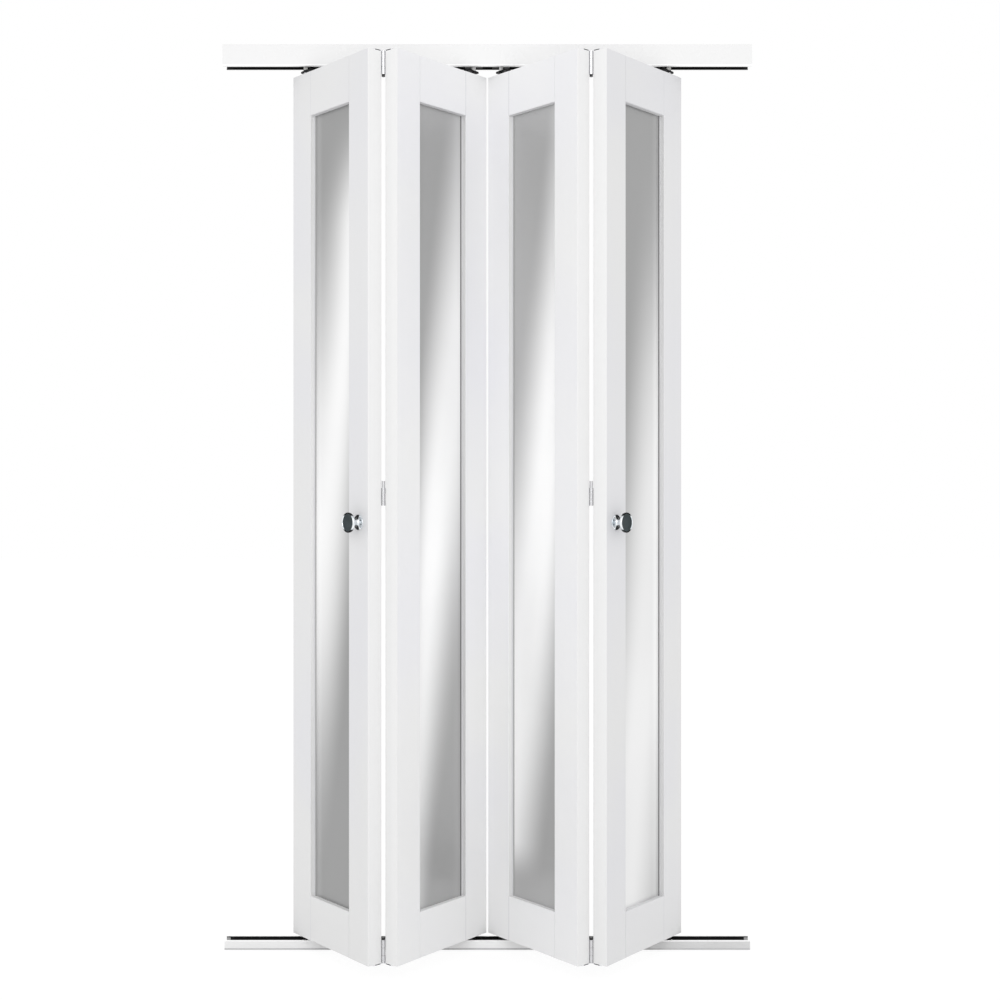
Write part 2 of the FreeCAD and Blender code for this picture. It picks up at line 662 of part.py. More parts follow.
LEAVES = (
    {"name": "outer_left", "hand": -1, "run": -1, "inner": False},
    {"name": "inner_left", "hand": -1, "run": 1, "inner": True},
    {"name": "inner_right", "hand": 1, "run": -1, "inner": True},
    {"name": "outer_right", "hand": 1, "run": 1, "inner": False},
)

subparts = [top_track(), bottom_track(), track_liner(), fascia()]
subparts += [
    socket_pair("top_pivot_sockets", f"{TRACK_INSIDE} - socket_side_play", LIP_TOP, SOCKET_TOP,
                LIP_TOP, f"{TRACK_UNDERSIDE} + pin_reach + pin_nose"),
    socket_pair("bottom_pivot_sockets", f"{TRACK_INSIDE} - liner_thick - socket_side_play",
                LINER_FLOOR, FLOOR_SOCKET_TOP, SOCKET_SEAT, FLOOR_SOCKET_TOP),
]
for leaf in LEAVES:
    subparts += build_leaf(leaf)
    if leaf["inner"]:
        side = "left" if leaf["hand"] < 0 else "right"
        subparts.append(hinge_pins(leaf, f"{side}_hinge_pins"))

doc.recompute()

broken = [f"{o.Name}: {o.State}" for o in doc.Objects if "Invalid" in o.State or "Error" in o.State]
broken += [f"{o.Label}: no valid shape" for o in subparts if o.Shape.isNull() or not o.Shape.isValid()]
if broken:
    raise SystemExit("These did not build:\n" + "\n".join(broken))

os.makedirs("parts", exist_ok=True)
for piece in subparts:
    piece.Shape.exportStep(f"parts/{piece.Label}.step")
print(f"{len(subparts)} sub-parts written")
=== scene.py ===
"""Looks of the bifold closet door: two folding pairs of mirrored leaves between two tracks.

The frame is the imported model's: metres, +Z up, the tracks along X, the room on the -Y side and
the origin on the floor, under the line that the pivots share. Sizes in the classes that build
meshes are in millimetres, those in the finishes are in metres, and a leaf's own places are told
as (along the leaf from its hinge axis, out towards the room, up from the floor).
"""

import json
import logging
import math
from collections.abc import Sequence
from dataclasses import dataclass, field
from enum import Enum
from functools import cache
from typing import Any, Self

import bmesh
import bpy
from mathutils import Matrix, Vector


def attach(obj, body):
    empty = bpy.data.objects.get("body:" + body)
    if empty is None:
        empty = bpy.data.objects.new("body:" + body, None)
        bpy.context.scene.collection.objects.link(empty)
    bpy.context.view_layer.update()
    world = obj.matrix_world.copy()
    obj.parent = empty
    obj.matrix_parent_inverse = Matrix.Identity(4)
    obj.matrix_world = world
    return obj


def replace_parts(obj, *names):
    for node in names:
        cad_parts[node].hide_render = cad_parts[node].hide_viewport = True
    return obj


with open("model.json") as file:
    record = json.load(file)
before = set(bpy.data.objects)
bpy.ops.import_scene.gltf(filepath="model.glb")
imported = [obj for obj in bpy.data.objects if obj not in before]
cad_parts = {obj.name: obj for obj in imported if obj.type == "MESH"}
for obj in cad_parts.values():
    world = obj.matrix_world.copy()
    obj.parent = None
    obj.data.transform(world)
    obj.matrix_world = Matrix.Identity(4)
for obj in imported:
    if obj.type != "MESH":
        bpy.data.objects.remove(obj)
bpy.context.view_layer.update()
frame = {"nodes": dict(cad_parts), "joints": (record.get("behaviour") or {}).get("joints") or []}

LOG = logging.getLogger("bifold_door")
MM = 0.001
TO_METRES = Matrix.Scale(MM, 4)

Socket = bpy.types.NodeSocket
Outputs = bpy.types.NodeOutputs
Tree = bpy.types.NodeTree
Loop = list[bmesh.types.BMVert]
Colour = tuple[float, float, float]
Point = tuple[float, float, float]
Span = tuple[float, float]
Wire = Socket | float | tuple[float, ...]
Tones = tuple[Wire, Wire]

WHITE = (1.0, 1.0, 1.0)
LEVELS = 255

# A screen's colours follow a straight line up to a share of white, and a curve above it.
LINE_END, LINE_SLOPE, CURVE_LIFT, CURVE_POWER = 0.04045, 12.92, 0.055, 2.4

# A Mix node has sockets for every kind of value. These are its colours' numbers.
MIX_SHARE, MIX_FIRST, MIX_SECOND, MIX_RESULT = 0, 6, 7, 2

# The span of each pattern's noise over which it comes to show.
STREAK_SPAN = (0.35, 0.65)
DRIFT_SPAN = (0.36, 0.64)
SPECKLE_SPAN = (0.2, 0.7)
SMUDGE_SPAN = (0.45, 0.75)
DIMPLE_SHARE = 0.5


def tone(red: float, green: float, blue: float) -> Colour:
    """Turns a colour written as 0 to 255 on a screen into the light it reflects.

    Args:
        red: Red, 0 to 255.
        green: Green, 0 to 255.
        blue: Blue, 0 to 255.

    Returns:
        The three shares of light, 0 to 1.
    """
    shares = [channel / LEVELS for channel in (red, green, blue)]
    linear = [share / LINE_SLOPE if share <= LINE_END
              else ((share + CURVE_LIFT) / (1 + CURVE_LIFT)) ** CURVE_POWER for share in shares]
    return linear[0], linear[1], linear[2]


def grey(level: float, blue: float | None = None) -> Colour:
    """Returns a grey written as 0 to 255 on a screen, with its own blue if one is given."""
    return tone(level, level, level if blue is None else blue)


def add_object(name: str, data: bpy.types.ID) -> bpy.types.Object:
    """Makes an object and puts it in the scene.

    Args:
        name: The object's name.
        data: Its mesh, lamp or camera.

    Returns:
        The object.
    """
    made = bpy.data.objects.new(name, data)
    bpy.context.scene.collection.objects.link(made)
    return made


# ---------------------------------------------------------------- shader wiring


@dataclass
class Wiring:
    """Adds nodes to one shader tree and joins them up."""

    tree: Tree

    def node(self, kind: str, wires: dict[str | int, Wire] | None = None,
             **settings: Any) -> bpy.types.Node:
        """Adds one node.

        Args:
            kind: Blender's name for the kind of node.
            wires: What goes into its inputs, by name or number: a socket, a number or numbers.
            **settings: Its other properties.

        Returns:
            The new node.
        """
        made = self.tree.nodes.new(kind)
        for name, value in settings.items():
            setattr(made, name, value)
        for key, value in (wires or {}).items():
            self.join(value, made.inputs[key])
        return made

    def join(self, value: Wire, socket: Socket) -> None:
        """Links a socket to an input, or writes a number or numbers on it.

        Args:
            value: The socket, the number or the numbers.
            socket: The input.
        """
        if isinstance(value, Socket):
            self.tree.links.new(value, socket)
        elif socket.type == "RGBA":
            socket.default_value = (*value, 1.0)
        else:
            socket.default_value = value

    def calc(self, operation: str, *terms: Wire) -> Socket:
        """Returns the result of one sum on single values."""
        made = self.node("ShaderNodeMath", dict(enumerate(terms)), operation=operation)
        return made.outputs[0]

    def vector(self, operation: str, first: Wire, second: Wire) -> Outputs:
        """Returns the results of one sum on two vectors."""
        made = self.node("ShaderNodeVectorMath", {0: first, 1: second}, operation=operation)
        return made.outputs

    def gap(self, first: Wire, second: Wire) -> Socket:
        """Returns how far apart two values are."""
        return self.calc("ABSOLUTE", self.calc("SUBTRACT", first, second))

    def ease(self, value: Wire, start: Wire, end: Wire, at_start: float = 0.0,
             at_end: float = 1.0) -> Socket:
        """Turns a value into another that changes smoothly between two marks.

        Args:
            value: What is read.
            start: The mark where the change starts.
            end: The mark where it ends.
            at_start: The result up to the first mark.
            at_end: The result from the second mark on.

        Returns:
            The eased value.
        """
        wires = {"Value": value, "From Min": start, "From Max": end, "To Min": at_start,
                 "To Max": at_end}
        return self.node("ShaderNodeMapRange", wires,
                         interpolation_type="SMOOTHSTEP").outputs["Result"]

    def between(self, value: Wire, rise: tuple[Wire, Wire],
                fall: tuple[Wire, Wire]) -> Socket:
        """Returns a mask that rises over one span of a value and falls over another."""
        return self.calc("MULTIPLY", self.ease(value, *rise), self.ease(value, *fall, 1.0, 0.0))

    def mix(self, share: Wire, first: Wire, second: Wire) -> Socket:
        """Returns a colour between two, at a share from the first to the second."""
        wires = {MIX_SHARE: share, MIX_FIRST: first, MIX_SECOND: second}
        return self.node("ShaderNodeMix", wires, data_type="RGBA").outputs[MIX_RESULT]

    def patch(self, share: Wire, tones: Tones, colour: Colour) -> Tones:
        """Returns two tones, each mixed with one colour by the same share."""
        return self.mix(share, tones[0], colour), self.mix(share, tones[1], colour)

    def noise(self, place: Wire, scale: Wire, **detail: float) -> Socket:
        """Returns a noise over a place, with its detail named as on the node."""
        return self.node("ShaderNodeTexNoise",
                         {"Vector": place, "Scale": scale, **detail}).outputs["Fac"]

    def group(self, tree: Tree, **wires: Wire) -> Outputs:
        """Places a shared node group, with its inputs named as words, and returns its outputs."""
        return self.node("ShaderNodeGroup", wires, node_tree=tree).outputs


class GroupDraft(Wiring):
    """A node group while it is wired, with its inputs and its outputs."""

    def __init__(self, name: str, inputs: dict[str, str], outputs: dict[str, str]) -> None:
        """Starts the group.

        Args:
            name: The group's name.
            inputs: The kind of each input socket, by name.
            outputs: The kind of each output socket, by name.
        """
        super().__init__(bpy.data.node_groups.new(name, "ShaderNodeTree"))
        for way, sockets in (("INPUT", inputs), ("OUTPUT", outputs)):
            for socket, kind in sockets.items():
                self.tree.interface.new_socket(name=socket, in_out=way,
                                               socket_type=f"NodeSocket{kind}")
        self.into = self.tree.nodes.new("NodeGroupInput").outputs
        self.out_of = self.tree.nodes.new("NodeGroupOutput").inputs

    def give(self, **results: Wire) -> Tree:
        """Joins the results to the group's outputs.

        Args:
            **results: What goes to each output, by name.

        Returns:
            The group.
        """
        for name, value in results.items():
            self.join(value, self.out_of[name])
        return self.tree


@cache
def leaf_place_group() -> Tree:
    """Shader group: how far a point is along its leaf, out from its hinge axis, and up.

    Returns:
        The group.
    """
    draft = GroupDraft("leaf_place", {"Position": "Vector", "Hinge": "Vector",
                                      "Along": "Vector", "Out": "Vector"},
                       {"Run": "Float", "Depth": "Float", "Height": "Float"})
    into = draft.into
    away = draft.vector("SUBTRACT", into["Position"], into["Hinge"])["Vector"]
    return draft.give(Run=draft.vector("DOT_PRODUCT", away, into["Along"])["Value"],
                      Depth=draft.vector("DOT_PRODUCT", away, into["Out"])["Value"],
                      Height=draft.node("ShaderNodeSeparateXYZ", {0: away}).outputs["Z"])


@cache
def streak_group() -> Tree:
    """Shader group: fine streaks that run one way, as grain under paint or brushing in metal.

    Returns:
        The group.
    """
    draft = GroupDraft("streaks", {"X": "Float", "Y": "Float", "Z": "Float",
                                   "Scale": "Vector"}, {"Height": "Float", "Streaks": "Float"})
    into = draft.into
    axes = {axis: into[axis] for axis in "XYZ"}
    place = draft.node("ShaderNodeCombineXYZ", axes).outputs["Vector"]
    stretched = draft.vector("MULTIPLY", place, into["Scale"])["Vector"]
    noise = draft.noise(stretched, 1.0, Detail=3.0, Roughness=0.55)
    return draft.give(Height=noise, Streaks=draft.ease(noise, *STREAK_SPAN))


@cache
def drift_group() -> Tree:
    """Shader group: a colour that drifts towards another in broad soft patches.

    Returns:
        The group.
    """
    draft = GroupDraft("drift", {"Position": "Vector", "Colour": "Color", "Other": "Color",
                                 "Patches": "Float", "Amount": "Float"}, {"Colour": "Color"})
    into = draft.into
    noise = draft.noise(into["Position"], into["Patches"], Detail=2.0, Roughness=0.4)
    share = draft.calc("MULTIPLY", draft.ease(noise, *DRIFT_SPAN), into["Amount"])
    return draft.give(Colour=draft.mix(share, into["Colour"], into["Other"]))


@cache
def peel_group() -> Tree:
    """Shader group: the fine rippled skin of sprayed paint, powder coat or moulded nylon.

    Returns:
        The group.
    """
    draft = GroupDraft("paint_peel", {"Position": "Vector", "Ripples": "Float"},
                       {"Height": "Float", "Speckle": "Float"})
    into = draft.into
    broad = draft.noise(into["Position"], into["Ripples"], Detail=1.0)
    cells = {"Vector": into["Position"], "Scale": into["Ripples"]}
    dimples = draft.node("ShaderNodeTexVoronoi", cells, feature="SMOOTH_F1").outputs["Distance"]
    return draft.give(Height=draft.calc("MULTIPLY_ADD", dimples, DIMPLE_SHARE, broad),
                      Speckle=draft.ease(dimples, *SPECKLE_SPAN))


@cache
def smudge_group() -> Tree:
    """Shader group: a roughness that varies in faint smudges between two values.

    Returns:
        The group.
    """
    draft = GroupDraft("smudges", {"Position": "Vector", "Size": "Float", "Clean": "Float",
                                   "Smudged": "Float"}, {"Roughness": "Float"})
    into = draft.into
    noise = draft.noise(into["Position"], into["Size"], Detail=4.0, Roughness=0.6,
                        Distortion=0.4)
    span = draft.calc("SUBTRACT", into["Smudged"], into["Clean"])
    smudges = draft.ease(noise, *SMUDGE_SPAN)
    return draft.give(Roughness=draft.calc("MULTIPLY_ADD", smudges, span, into["Clean"]))


@cache
def band_group() -> Tree:
    """Shader group: a broad soft band of light that lies slantwise across a mirror.

    Returns:
        The group.
    """
    marks = ("Middle", "Centre", "Slope", "Bow", "Core", "Fall", "FootLow", "FootHigh",
             "HeadLow", "HeadHigh", "RimStart", "RimEnd")
    draft = GroupDraft("slanting_band",
                       {"Run": "Float", "Height": "Float"} | dict.fromkeys(marks, "Float"),
                       {"Band": "Float", "Rim": "Float"})
    into = draft.into
    across = draft.calc("SUBTRACT", into["Run"], into["Middle"])
    bowed = draft.calc("MULTIPLY_ADD", across, into["Bow"], into["Slope"])
    centre = draft.calc("MULTIPLY_ADD", across, bowed, into["Centre"])
    away = draft.gap(into["Height"], centre)
    edge = draft.calc("ADD", into["Core"], into["Fall"])
    band = draft.ease(away, into["Core"], edge, 1.0, 0.0)
    kept = draft.between(into["Height"], (into["FootLow"], into["FootHigh"]),
                         (into["HeadLow"], into["HeadHigh"]))
    return draft.give(Band=draft.calc("MULTIPLY", band, kept),
                      Rim=draft.ease(into["Run"], into["RimStart"], into["RimEnd"]))


# ---------------------------------------------------------------- the leaves' places


class Leaf(Enum):
    """One of the four leaves: its name, its pair's side and the way it runs from its hinge."""

    OUTER_LEFT = ("outer_left", -1, -1)
    INNER_LEFT = ("inner_left", -1, 1)
    INNER_RIGHT = ("inner_right", 1, -1)
    OUTER_RIGHT = ("outer_right", 1, 1)

    def __str__(self) -> str:
        """Returns the leaf's name, which starts the names of its pieces."""
        return self.value[0]

    @property
    def body(self) -> str:
        """The body that the leaf's pieces ride on."""
        return f"{self}_leaf"

    @property
    def is_outer(self) -> bool:
        """Whether the leaf has a knob and runs in the tracks."""
        return self.value[1] == self.value[2]

    @property
    def hinge(self) -> Vector:
        """The foot of the hinge axis, on the floor."""
        place = find_joint("left_fold" if self.value[1] < 0 else "right_fold")["pos_m"]
        return Vector((place[0], place[1], 0.0))

    @property
    def along(self) -> Vector:
        """The way from the hinge to the leaf's free end."""
        return Vector((self.value[2] * math.cos(rest_turn()), math.sin(rest_turn()), 0.0))

    @property
    def out(self) -> Vector:
        """The way out of the leaf's face, into the room."""
        return Vector((self.value[2] * math.sin(rest_turn()), -math.cos(rest_turn()), 0.0))

    def place(self, at: Point = (0.0, 0.0, 0.0)) -> Matrix:
        """The matrix to metres from millimetres along, out and up from a place on the leaf."""
        turn = Matrix((self.along, self.out, (0.0, 0.0, 1.0))).transposed().to_4x4()
        return Matrix.Translation(self.hinge) @ turn @ TO_METRES @ Matrix.Translation(at)


def find_joint(name: str) -> dict[str, Any]:
    """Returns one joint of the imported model."""
    return next(joint for joint in frame["joints"] if joint["name"] == name)


@cache
def rest_turn() -> float:
    """The angle between a leaf and the tracks at rest, in radians."""
    return math.radians(-find_joint("left_pivot")["range_deg"][0])


class Facing(Enum):
    """Which way a turned piece or a screw head stands: the turn from up."""

    UP = Matrix.Identity(4)
    DOWN = Matrix.Rotation(math.pi, 4, "X")
    OUT = Matrix.Rotation(-math.pi / 2, 4, "X")
    BACK = Matrix.Rotation(math.pi / 2, 4, "X")


# ---------------------------------------------------------------- finishes


@dataclass
class Surface(Wiring):
    """A material while it is wired, with its shader and where its points are at rest."""

    shader: bpy.types.Node
    position: Wire

    def give(self, **values: Wire) -> None:
        """Joins values to the shader's sockets, each named with _ for the blanks in its name."""
        for name, value in values.items():
            self.join(value, self.shader.inputs[name.replace("_", " ")])

    def emboss(self, height: Wire, depth: float, strength: float) -> None:
        """Bends the shader's normal by a height of 0 to 1 that is so many metres deep."""
        wires = {"Height": height, "Distance": depth, "Strength": strength}
        self.give(Normal=self.node("ShaderNodeBump", wires).outputs["Normal"])

    def smudge(self, size: float, roughness: Span) -> None:
        """Varies the shader's roughness between two values, in so many smudges to a metre."""
        smudges = self.group(smudge_group(), Position=self.position, Size=size,
                             Clean=roughness[0], Smudged=roughness[1])
        self.give(Roughness=smudges["Roughness"])

    def drift(self, tones: Tones, patches: float, amount: float) -> Socket:
        """Returns a tone that goes so far towards another, in so many patches to a metre."""
        return self.group(drift_group(), Position=self.position, Colour=tones[0],
                          Other=tones[1], Patches=patches, Amount=amount)["Colour"]

    def peel(self, ripples: float) -> Outputs:
        """Returns the height and the speckle of a rippled skin, at so many ripples a metre."""
        return self.group(peel_group(), Position=self.position, Ripples=ripples)

    def streaks(self, axes: Sequence[Wire], scale: Point) -> Outputs:
        """Returns the height and the mask of streaks along three axes, each at its own scale."""
        return self.group(streak_group(), X=axes[0], Y=axes[1], Z=axes[2], Scale=scale)

    def axes(self) -> Outputs:
        """Returns how far a point is along X, Y and Z."""
        return self.node("ShaderNodeSeparateXYZ", {0: self.position}).outputs

    def on_leaf(self, leaf: Leaf) -> Outputs:
        """Returns a point's run, depth and height on a leaf."""
        return self.group(leaf_place_group(), Position=self.position, Hinge=leaf.hinge,
                          Along=leaf.along, Out=leaf.out)


@dataclass(frozen=True)
class Finish:
    """What a surface is made of. Each kind of finish wires its own shader."""

    name: str
    slot: str

    def wire(self, surface: Surface) -> None:
        """Wires the finish on a surface."""
        raise NotImplementedError

    def material(self) -> bpy.types.Material:
        """Returns the finish's material, which is made the first time.

        Returns:
            The material.
        """
        found = bpy.data.materials.get(self.name)
        if found:
            return found
        made = bpy.data.materials.new(self.name)
        made.use_nodes = True
        tree = made.node_tree
        position = Wiring(tree).node("ShaderNodeTexCoord").outputs["Object"]
        self.wire(Surface(tree, tree.nodes["Principled BSDF"], position))
        return made


@dataclass(frozen=True)
class PaintTones:
    """The levels of one leaf's paint, 0 to 255 on a screen, with its painted light and shade:
    darker near the hinge and towards the floor, paler along the hinge edge, and a lit or shaded
    reveal.
    """

    colour: float
    near: float
    shade: float
    reveal: float
    edge: float = 232.0
    cool: float = 5.0


# Painted light: the inner leaves, in each other's shade, are painted paler than the outer ones;
# each reveal tone is painted light or shade.
PAINT_TONES = {
    Leaf.OUTER_LEFT: PaintTones(colour=224, near=222, shade=223, reveal=231),
    Leaf.INNER_LEFT: PaintTones(colour=238, near=233, shade=236, reveal=211),
    Leaf.INNER_RIGHT: PaintTones(colour=238, near=233, shade=236, reveal=233),
    Leaf.OUTER_RIGHT: PaintTones(colour=224, near=222, shade=223, reveal=216),
}


@dataclass(frozen=True)
class PaintedWood(Finish):
    """Satin paint over a stile or a rail, with the wood's grain just showing through and painted
    light and shade on the leaf.
    """

    leaf: Leaf
    upright: bool
    patches: float = 2.6
    amount: float = 0.55
    far_span: Span = (0.03, 0.22)
    hinge_edge_highlight_span: Span = (0.0018, 0.0045)
    shade_top: float = 0.30
    shade_amount: float = 0.75
    reveal_run: float = 0.2235
    reveal_reach: float = 0.0008
    reveal_depth: float = 0.0384
    fine: float = 900.0
    long: float = 14.0
    grain_share: float = 0.10
    grain_depth: float = 0.00022
    ripples: float = 700.0
    peel_depth: float = 0.00010
    relief: float = 0.5
    smudge_size: float = 9.0
    roughness: Span = (0.42, 0.52)
    gloss: float = 0.35

    def wire(self, surface: Surface) -> None:
        """Wires the paint's colour, grain and sheen.

        Args:
            surface: The material that is wired.
        """
        place = surface.on_leaf(self.leaf)
        lit = self.colour(surface, place)
        scale = ((self.fine, self.fine, self.long) if self.upright
                 else (self.long, self.fine, self.fine))
        grain = surface.streaks((place["Run"], place["Depth"], place["Height"]), scale)
        share = surface.calc("MULTIPLY", grain["Streaks"], self.grain_share)
        shade = grey(PAINT_TONES[self.leaf].shade)
        surface.give(Base_Color=surface.mix(share, lit, shade),
                     Specular_IOR_Level=self.gloss)
        height = surface.calc("MULTIPLY_ADD", surface.peel(self.ripples)["Height"],
                              self.peel_depth / self.grain_depth, grain["Height"])
        surface.emboss(height, self.grain_depth, self.relief)
        surface.smudge(self.smudge_size, self.roughness)

    def colour(self, surface: Surface, place: Outputs) -> Socket:
        """Wires the paint's colour, without its grain, with its painted light and shade.

        Args:
            surface: The material that is wired.
            place: Where a point is on the leaf.

        Returns:
            The colour.
        """
        tones = PAINT_TONES[self.leaf]
        # Painted shade: darker near the hinge, going over to the plain tone away from it.
        far = surface.ease(place["Run"], *self.far_span)
        plain = surface.mix(far, grey(tones.near), grey(tones.colour))
        cool = surface.mix(far, grey(tones.near - tones.cool, tones.near),
                           grey(tones.colour - tones.cool, tones.colour))
        # Painted shade: darker towards the floor.
        low = surface.ease(place["Height"], 0.0, self.shade_top, self.shade_amount, 0.0)
        drifted = surface.drift((plain, cool), self.patches, self.amount)
        shaded = surface.mix(low, drifted, grey(tones.shade))
        # Painted highlight: paler along the hinge edge.
        edge = surface.ease(place["Run"], *self.hinge_edge_highlight_span, 1.0, 0.0)
        lit = surface.mix(edge, shaded, grey(tones.edge))
        # Painted light or shade on the far reveal wall of the mirror opening, its own tone on each
        # leaf.
        off = surface.gap(place["Run"], self.reveal_run)
        reveal_shading_mask = surface.calc("MULTIPLY", surface.calc("LESS_THAN", off, self.reveal_reach),
                            surface.calc("LESS_THAN", place["Depth"], self.reveal_depth))
        return surface.mix(reveal_shading_mask, lit, grey(tones.reveal))


@dataclass(frozen=True)
class Coating(Finish):
    """Paint, powder coat, nylon or board: a coloured skin with fine ripples and faint wear."""

    colour: Colour
    other: Colour
    patches: float = 6.0
    amount: float = 0.6
    ripples: float = 900.0
    depth: float = 0.00012
    relief: float = 0.5
    smudge_size: float = 14.0
    roughness: Span = (0.38, 0.5)
    speckle: float = 0.08
    gloss: float = 0.4

    def tones(self, _surface: Surface) -> Tones:
        """Returns the coat's two tones, for subclasses to change from place to place."""
        return self.colour, self.other

    def wire(self, surface: Surface) -> None:
        """Wires the coat's colour, ripples and sheen.

        Args:
            surface: The material that is wired.
        """
        tones = self.tones(surface)
        peel = surface.peel(self.ripples)
        share = surface.calc("MULTIPLY", peel["Speckle"], self.speckle)
        drifted = surface.drift(tones, self.patches, self.amount)
        surface.give(Base_Color=surface.mix(share, drifted, tones[1]),
                     Specular_IOR_Level=self.gloss)
        surface.emboss(peel["Height"], self.depth, self.relief)
        surface.smudge(self.smudge_size, self.roughness)


@dataclass(frozen=True, kw_only=True)
class LongCoating(Coating):
    """The coat of a long extrusion, with painted shade towards its ends and, where set, a painted
    highlight along its hem.
    """

    left: Colour
    right: Colour
    hem_highlight: Colour = WHITE
    hem_highlight_span: Span = (0.0, 0.0)
    end_shade_span: Span = (0.15, 0.5)
    cloud: float = 0.4

    def tones(self, surface: Surface) -> Tones:
        """Returns the coat's tones with their painted shade at the ends and their painted
        highlight on the hem.

        Args:
            surface: The material that is wired.

        Returns:
            The two tones.
        """
        axes = surface.axes()
        # Painted shade: darker towards each end of the extrusion.
        back = surface.calc("MULTIPLY", axes["X"], -1.0)
        end_shaded = surface.mix(surface.ease(back, *self.end_shade_span), self.colour, self.left)
        end_shaded = surface.mix(surface.ease(axes["X"], *self.end_shade_span), end_shaded, self.right)
        # Painted highlight: white over the hem's span of height.
        hem_highlighted = surface.mix(surface.ease(axes["Z"], *self.hem_highlight_span, 1.0, 0.0), end_shaded, self.hem_highlight)
        return hem_highlighted, surface.mix(self.cloud, hem_highlighted, self.other)


@dataclass(frozen=True)
class LinerCoating(Coating):
    """The liner's coat, with its cut ends left pale."""

    bare: Colour = grey(176)
    bare_start: float = 0.5895
    bare_top: float = 0.0192

    def tones(self, surface: Surface) -> Tones:
        """Returns the coat's tones with their pale ends.

        Args:
            surface: The material that is wired.

        Returns:
            The two tones.
        """
        axes = surface.axes()
        away = surface.calc("ABSOLUTE", axes["X"])
        end = surface.calc("MULTIPLY", surface.calc("GREATER_THAN", away, self.bare_start),
                           surface.calc("LESS_THAN", axes["Z"], self.bare_top))
        return surface.patch(end, (self.colour, self.other), self.bare)


@dataclass(frozen=True)
class PivotCoating(Coating):
    """The coat of a leaf's pivot pins: a pale hub over the strap, black below it."""

    below: Colour = grey(24)
    hub_start: float = 2.0047

    def tones(self, surface: Surface) -> Tones:
        """Returns the coat's tones over the strap and below it."""
        low = surface.calc("LESS_THAN", surface.axes()["Z"], self.hub_start)
        return surface.patch(low, (self.colour, self.other), self.below)


@dataclass(frozen=True, kw_only=True)
class SealCoating(Coating):
    """The coat of a mirror's side seals: pale, with a painted shadow line where the far one meets
    glass.
    """

    leaf: Leaf
    shadow_line_span: Span = (0.2192, 0.2200)

    def tones(self, surface: Surface) -> Tones:
        """Returns the seals' tones with their dark lines."""
        # Painted shadow line where the far seal meets the glass.
        line = surface.ease(surface.on_leaf(self.leaf)["Run"], *self.shadow_line_span, 1.0, 0.0)
        return surface.patch(line, (self.colour, self.other), SEAL_SHADOW_LINES[self.leaf])


@dataclass(frozen=True)
class Metal(Finish):
    """Plated, turned or brushed metal, with streaks the way it was worked."""

    colour: Colour
    other: Colour
    scale: Point = (300.0, 300.0, 6000.0)
    streak_share: float = 0.35
    depth: float = 0.00001
    relief: float = 0.4
    patches: float = 60.0
    amount: float = 0.5
    smudge_size: float = 120.0
    roughness: Span = (0.12, 0.2)

    def tones(self, _surface: Surface) -> Tones:
        """Returns the metal's two tones, for subclasses to change from place to place."""
        return self.colour, self.other

    def wire(self, surface: Surface) -> None:
        """Wires the metal's colour, streaks and polish.

        Args:
            surface: The material that is wired.
        """
        tones, axes = self.tones(surface), surface.axes()
        streaks = surface.streaks((axes["X"], axes["Y"], axes["Z"]), self.scale)
        share = surface.calc("MULTIPLY", streaks["Streaks"], self.streak_share)
        drifted = surface.drift(tones, self.patches, self.amount)
        surface.give(Base_Color=surface.mix(share, drifted, tones[1]), Metallic=1.0)
        surface.emboss(streaks["Height"], self.depth, self.relief)
        surface.smudge(self.smudge_size, self.roughness)


@dataclass(frozen=True, kw_only=True)
class KnobFace(Metal):
    """The knob's disc: dark in front, bare metal on the side that faces the leaf."""

    leaf: Leaf
    bare: Colour = tone(240, 243, 245)
    bare_depth: float = 0.0645

    def tones(self, surface: Surface) -> Tones:
        """Returns the disc's tones, dark in front and bare behind."""
        back = surface.calc("LESS_THAN", surface.on_leaf(self.leaf)["Depth"], self.bare_depth)
        return surface.patch(back, (self.colour, self.other), self.bare)


@dataclass(frozen=True)
class PinCaps(Finish):
    """Pin caps: dipped in black at the ends of the leaves, bare steel at the middle hinge."""

    black: Colour = grey(26, 28)
    bare: Colour = grey(206, 208)
    middle: float = 1.05
    reach: Span = (0.3, 0.4)
    ripples: float = 2500.0
    depth: float = 0.00008
    relief: float = 0.5
    smudge_size: float = 150.0
    roughness: Span = (0.32, 0.42)

    def wire(self, surface: Surface) -> None:
        """Wires the dip, the steel and their sheen.

        Args:
            surface: The material that is wired.
        """
        away = surface.gap(surface.axes()["Z"], self.middle)
        steel = surface.ease(away, *self.reach, 1.0, 0.0)
        surface.give(Base_Color=surface.mix(steel, self.black, self.bare), Metallic=steel)
        surface.emboss(surface.peel(self.ripples)["Height"], self.depth, self.relief)
        surface.smudge(self.smudge_size, self.roughness)


